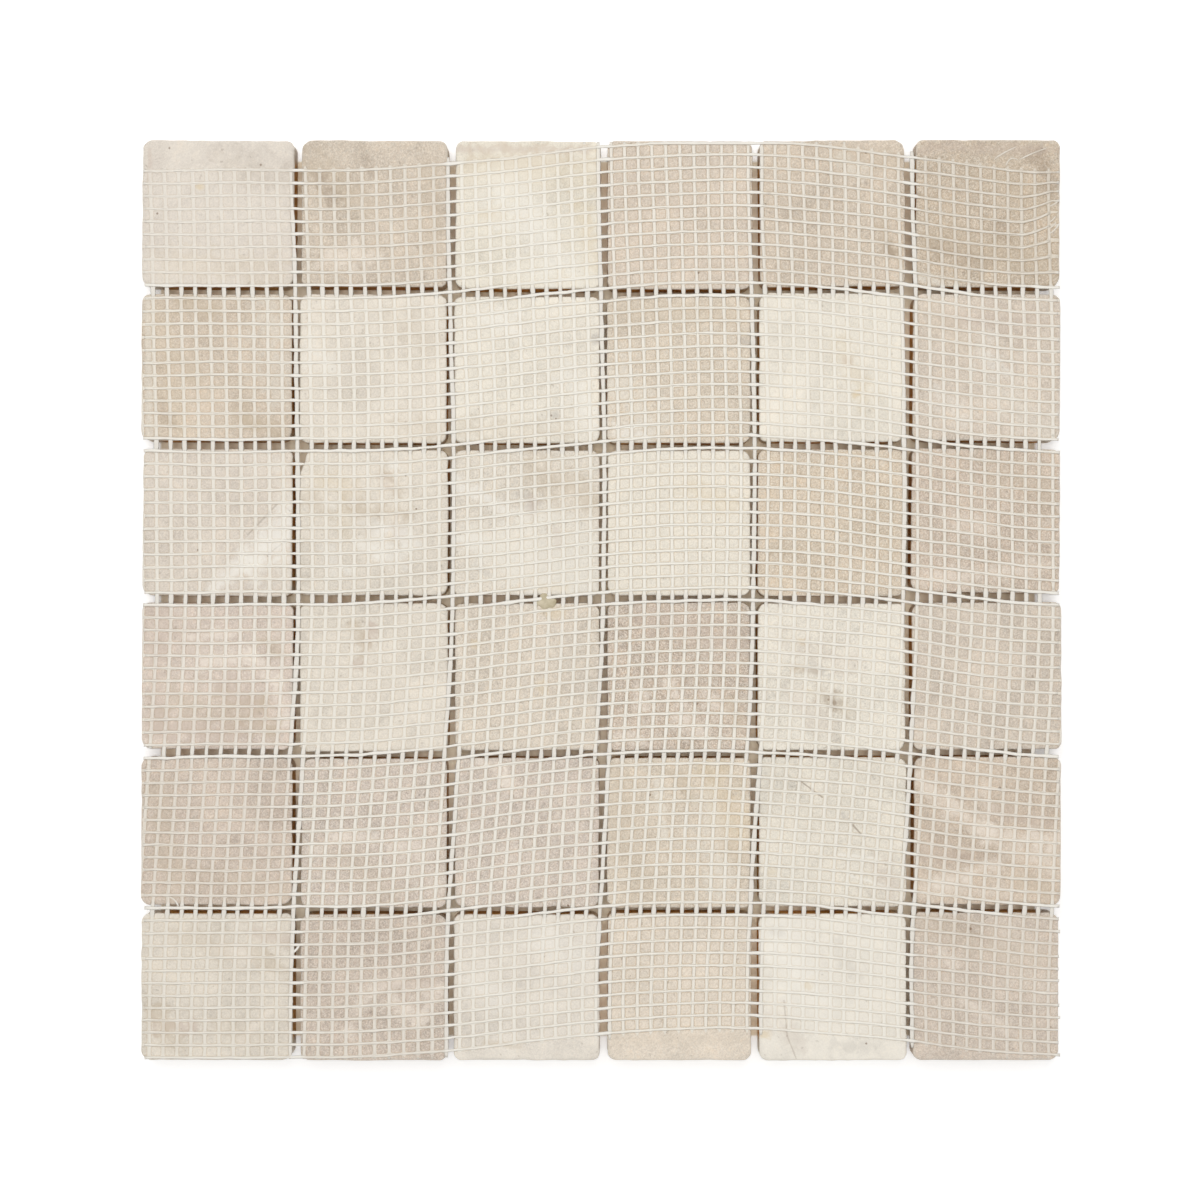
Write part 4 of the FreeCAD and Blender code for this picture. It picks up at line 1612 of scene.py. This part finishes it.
        patch(Stain.MILK, 8, -6, 22, -16, 8, 0.2),)),
    (5, 3): StoneFinish(Tone.ROSE_TAN, Undertone.ASH, 0.945, mottle=0.2, grain=0.4, glue=0.4, film=0.82, markings=(
        streak(Stain.CRACK, 21.5, -7.5, 24, -9.5, 0.4, 0.6),
        spot(Stain.BROWN, 13.5, -24, 0.5),
        patch(Stain.MILK, -16, 23, -8.5, 21, 2.2, 0.45),
        patch(Stain.MILK, -10, 21, -5, 16, 3, 0.6),)),
    (5, 4): StoneFinish(Tone.SAND, Undertone.PLAIN, 1, mottle=0.22, grain=0.36, glue=0.3, film=0.84, markings=(
        spot(Stain.BROWN, -9.5, 12.5, 0.5),
        patch(Stain.TAWNY, -21, 17, -13, -19, 10, 0.22),
        streak(Stain.PALE, -7, 17, -5, -1, 2.2, 0.4),
        patch(Stain.TAWNY, -2, 20, 4, 11, 4, 0.4),
        patch(Stain.OCHRE, 11, 19, 19, 1, 10, 0.35),
        patch(Stain.PALE, 9, 11, 14, -17, 7, 0.35),
        patch(Stain.TAWNY, 16, -4, 20, -9, 4, 0.4),)),
    (5, 5): StoneFinish(Tone.IVORY, Undertone.PLAIN, 0.94, mottle=0.12, grain=0.24, markings=(
        streak(Stain.CRACK, -11, 17, -3.5, 11.5, 0.42, 0.75),
        streak(Stain.CRACK, 5.5, 3.5, 10.5, -2, 0.42, 0.75),
        patch(Stain.GREY, 3.5, 5, 5, 5, 1.5, 0.81),
        patch(Stain.OCHRE, -19.5, -13, -19, -13, 2.4, 0.3),
        streak(Stain.WHITE, 5.5, -14, 20.5, -19, 0.9, 0.5),
        streak(Stain.WHITE, 2, -7.5, 15.5, -9, 0.9, 0.5),
        patch(Stain.ROSY, 15, -12, 20, -21, 6, 0.3),
        patch(Stain.PALE, -13, 1, -11, -1, 3, 0.4),)),
    (5, 6): StoneFinish(Tone.TAN, Undertone.ROSY, 0.94, mottle=0.24, film=0.62, markings=(
        patch(Stain.ROSY, 2, 6, 20, 3, 4, 0.4),
        patch(Stain.ROSY, -21, -6, -6, -9, 5, 0.35),
        spot(Stain.BROWN, 4, 14, 0.8),
        patch(Stain.MILK, -23, 18, -13, 9, 4, 0.45),
        patch(Stain.MILK, -13, 9, 0, -1, 4, 0.5),
        patch(Stain.MILK, 0, -1, 22, -3, 4, 0.42),
        patch(Stain.MILK, 7, -6, 21, -11, 5, 0.35),
        patch(Stain.BROWN, -9, -8, 5, -9, 3.4, 0.15),
        patch(Stain.TAWNY, 11, -16, 20, -20, 4, 0.35),
        patch(Stain.MILK, -16, -17, 3, -11, 3.4, 0.45),
        patch(Stain.MILK, -21, -19, 4, -20, 4, 0.3),
        patch(Stain.MILK, -1, 14, 1, 6, 3.4, 0.3),)),
    (6, 1): StoneFinish(Tone.CREAM, Undertone.PLAIN, 0.95, mottle=0.12, grain=0.18, glue=0.65, film=0.5, markings=(
        patch(Stain.MILK, 2, 13, 10, 10, 4, 0.4),
        patch(Stain.ROSY, -20, -13, -9, -13, 4, 0.61),
        patch(Stain.ROSY, 13, 17, 22, 16, 4, 0.47),
        patch(Stain.TAWNY, -13, 17, 3, 13, 6, 0.25),
        patch(Stain.TAWNY, 13, 11, 20, 6, 4.4, 0.4),
        patch(Stain.TAWNY, -21, -8, -15, -18, 6, 0.5),
        streak(Stain.MILK, 8, -17.5, 17.5, -7.5, 2, 0.35),
        patch(Stain.TAWNY, 0, -13, 15, -17, 5, 0.2),)),
    (6, 2): StoneFinish(Tone.ROSE_TAN, Undertone.ROSY, 0.845, mottle=0.2, grain=0.36, film=0.66, markings=(
        patch(Stain.MILK, -8, -14, -2.5, -2.5, 2.8, 0.35),
        patch(Stain.MILK, -3, -1, 8, 2, 3, 0.4),
        patch(Stain.MILK, 8, 2, 20, -1, 3, 0.3),
        patch(Stain.ROSY, 5, 1, 18, 2, 4, 0.3),
        patch(Stain.MILK, 6, -4, 10, -7, 4.4, 0.4),
        patch(Stain.MILK, 11, -6, 15, -10, 4.4, 0.35),
        patch(Stain.MILK, 15, -10, 22, -1, 3.2, 0.38),)),
    (6, 3): StoneFinish(Tone.CREAM, Undertone.ASH, 1.045, mottle=0.1, grain=0.18, glue=0.7, markings=(
        streak(Stain.TAWNY, -14, -18, -2, -19.5, 1.4, 0.35),
        patch(Stain.WHITE, 4, 17, 18, 9, 8, 0.3),
        patch(Stain.GREY, -1, 4, 17, -1, 5, 0.15),
        patch(Stain.WHITE, -15, 1, -8, -4, 6, 0.3),)),
    (6, 4): StoneFinish(Tone.ROSE_TAN, Undertone.MOSS, 1.175, mottle=0.1, glue=0.2, markings=(
        patch(Stain.TAWNY, -21, -17, 22, -17, 4, 0.15),)),
    (6, 5): StoneFinish(Tone.IVORY, Undertone.ASH, 1.05, mottle=0.08, grain=0.1, glue=0.8, markings=(
        patch(Stain.GREY, -19, 18.5, -17.5, 18.5, 2, 0.35),
        patch(Stain.GREY, 0, -19, 11, -20, 3.6, 0.3),
        patch(Stain.OCHRE, -8.5, 0.5, -8, 0.5, 2, 0.61),
        patch(Stain.OCHRE, -23, -16, -22, -16, 2, 0.61),
        streak(Stain.CRACK, -16, -4.5, -15, -16, 0.4, 0.4),
        streak(Stain.CRACK, -15, -16, -12, -23.5, 0.4, 0.4),
        spot(Stain.BROWN, 11, -18.5, 0.45),
        patch(Stain.GREY, 1, 14, 7, 5, 4, 0.18),
        patch(Stain.WHITE, -18, 15, -6, -4, 10, 0.3),
        patch(Stain.ROSY, -19, -9, -11, -19, 6, 0.2),)),
    (6, 6): StoneFinish(Tone.ROSE_TAN, Undertone.PLAIN, 0.94, film=0.48, markings=(
        spot(Stain.BROWN, -5, 19, 0.7),
        patch(Stain.TAWNY, -19, 20, 19, 9, 9, 0.25),
        patch(Stain.BROWN, -7, 21, -3, 17, 3, 0.12),
        patch(Stain.MILK, -15, 12, -10, 7, 3, 0.35),
        streak(Stain.MILK, -7.5, -4.5, 6.5, -14, 2.4, 0.35),
        patch(Stain.MILK, 7, 17, 19, 1, 9, 0.15),)),
}
BROKEN = {(3, 2): (2.7, 7.6)}


def main() -> None:
    """Build the sheet and its studio."""
    logging.basicConfig(level=logging.INFO, format="%(name)s: %(message)s")
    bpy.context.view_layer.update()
    net = NetLayout()
    chips = [Chip(row, column, finish, broken_corner=BROKEN.get((row, column), (0.0, 0.0)))
             for (row, column), finish in FINISHES.items()]
    for chip in chips:
        chip.build(net, Stone(chip, net).shader())
    netting = Netting(net, chips)
    netting.build(netting.shader(YarnFinish.WARP), netting.shader(YarnFinish.WEFT))
    drip = GlueDrip()
    drip.build(drip.shader())
    Studio().build()


if __name__ == "__main__":
    main()
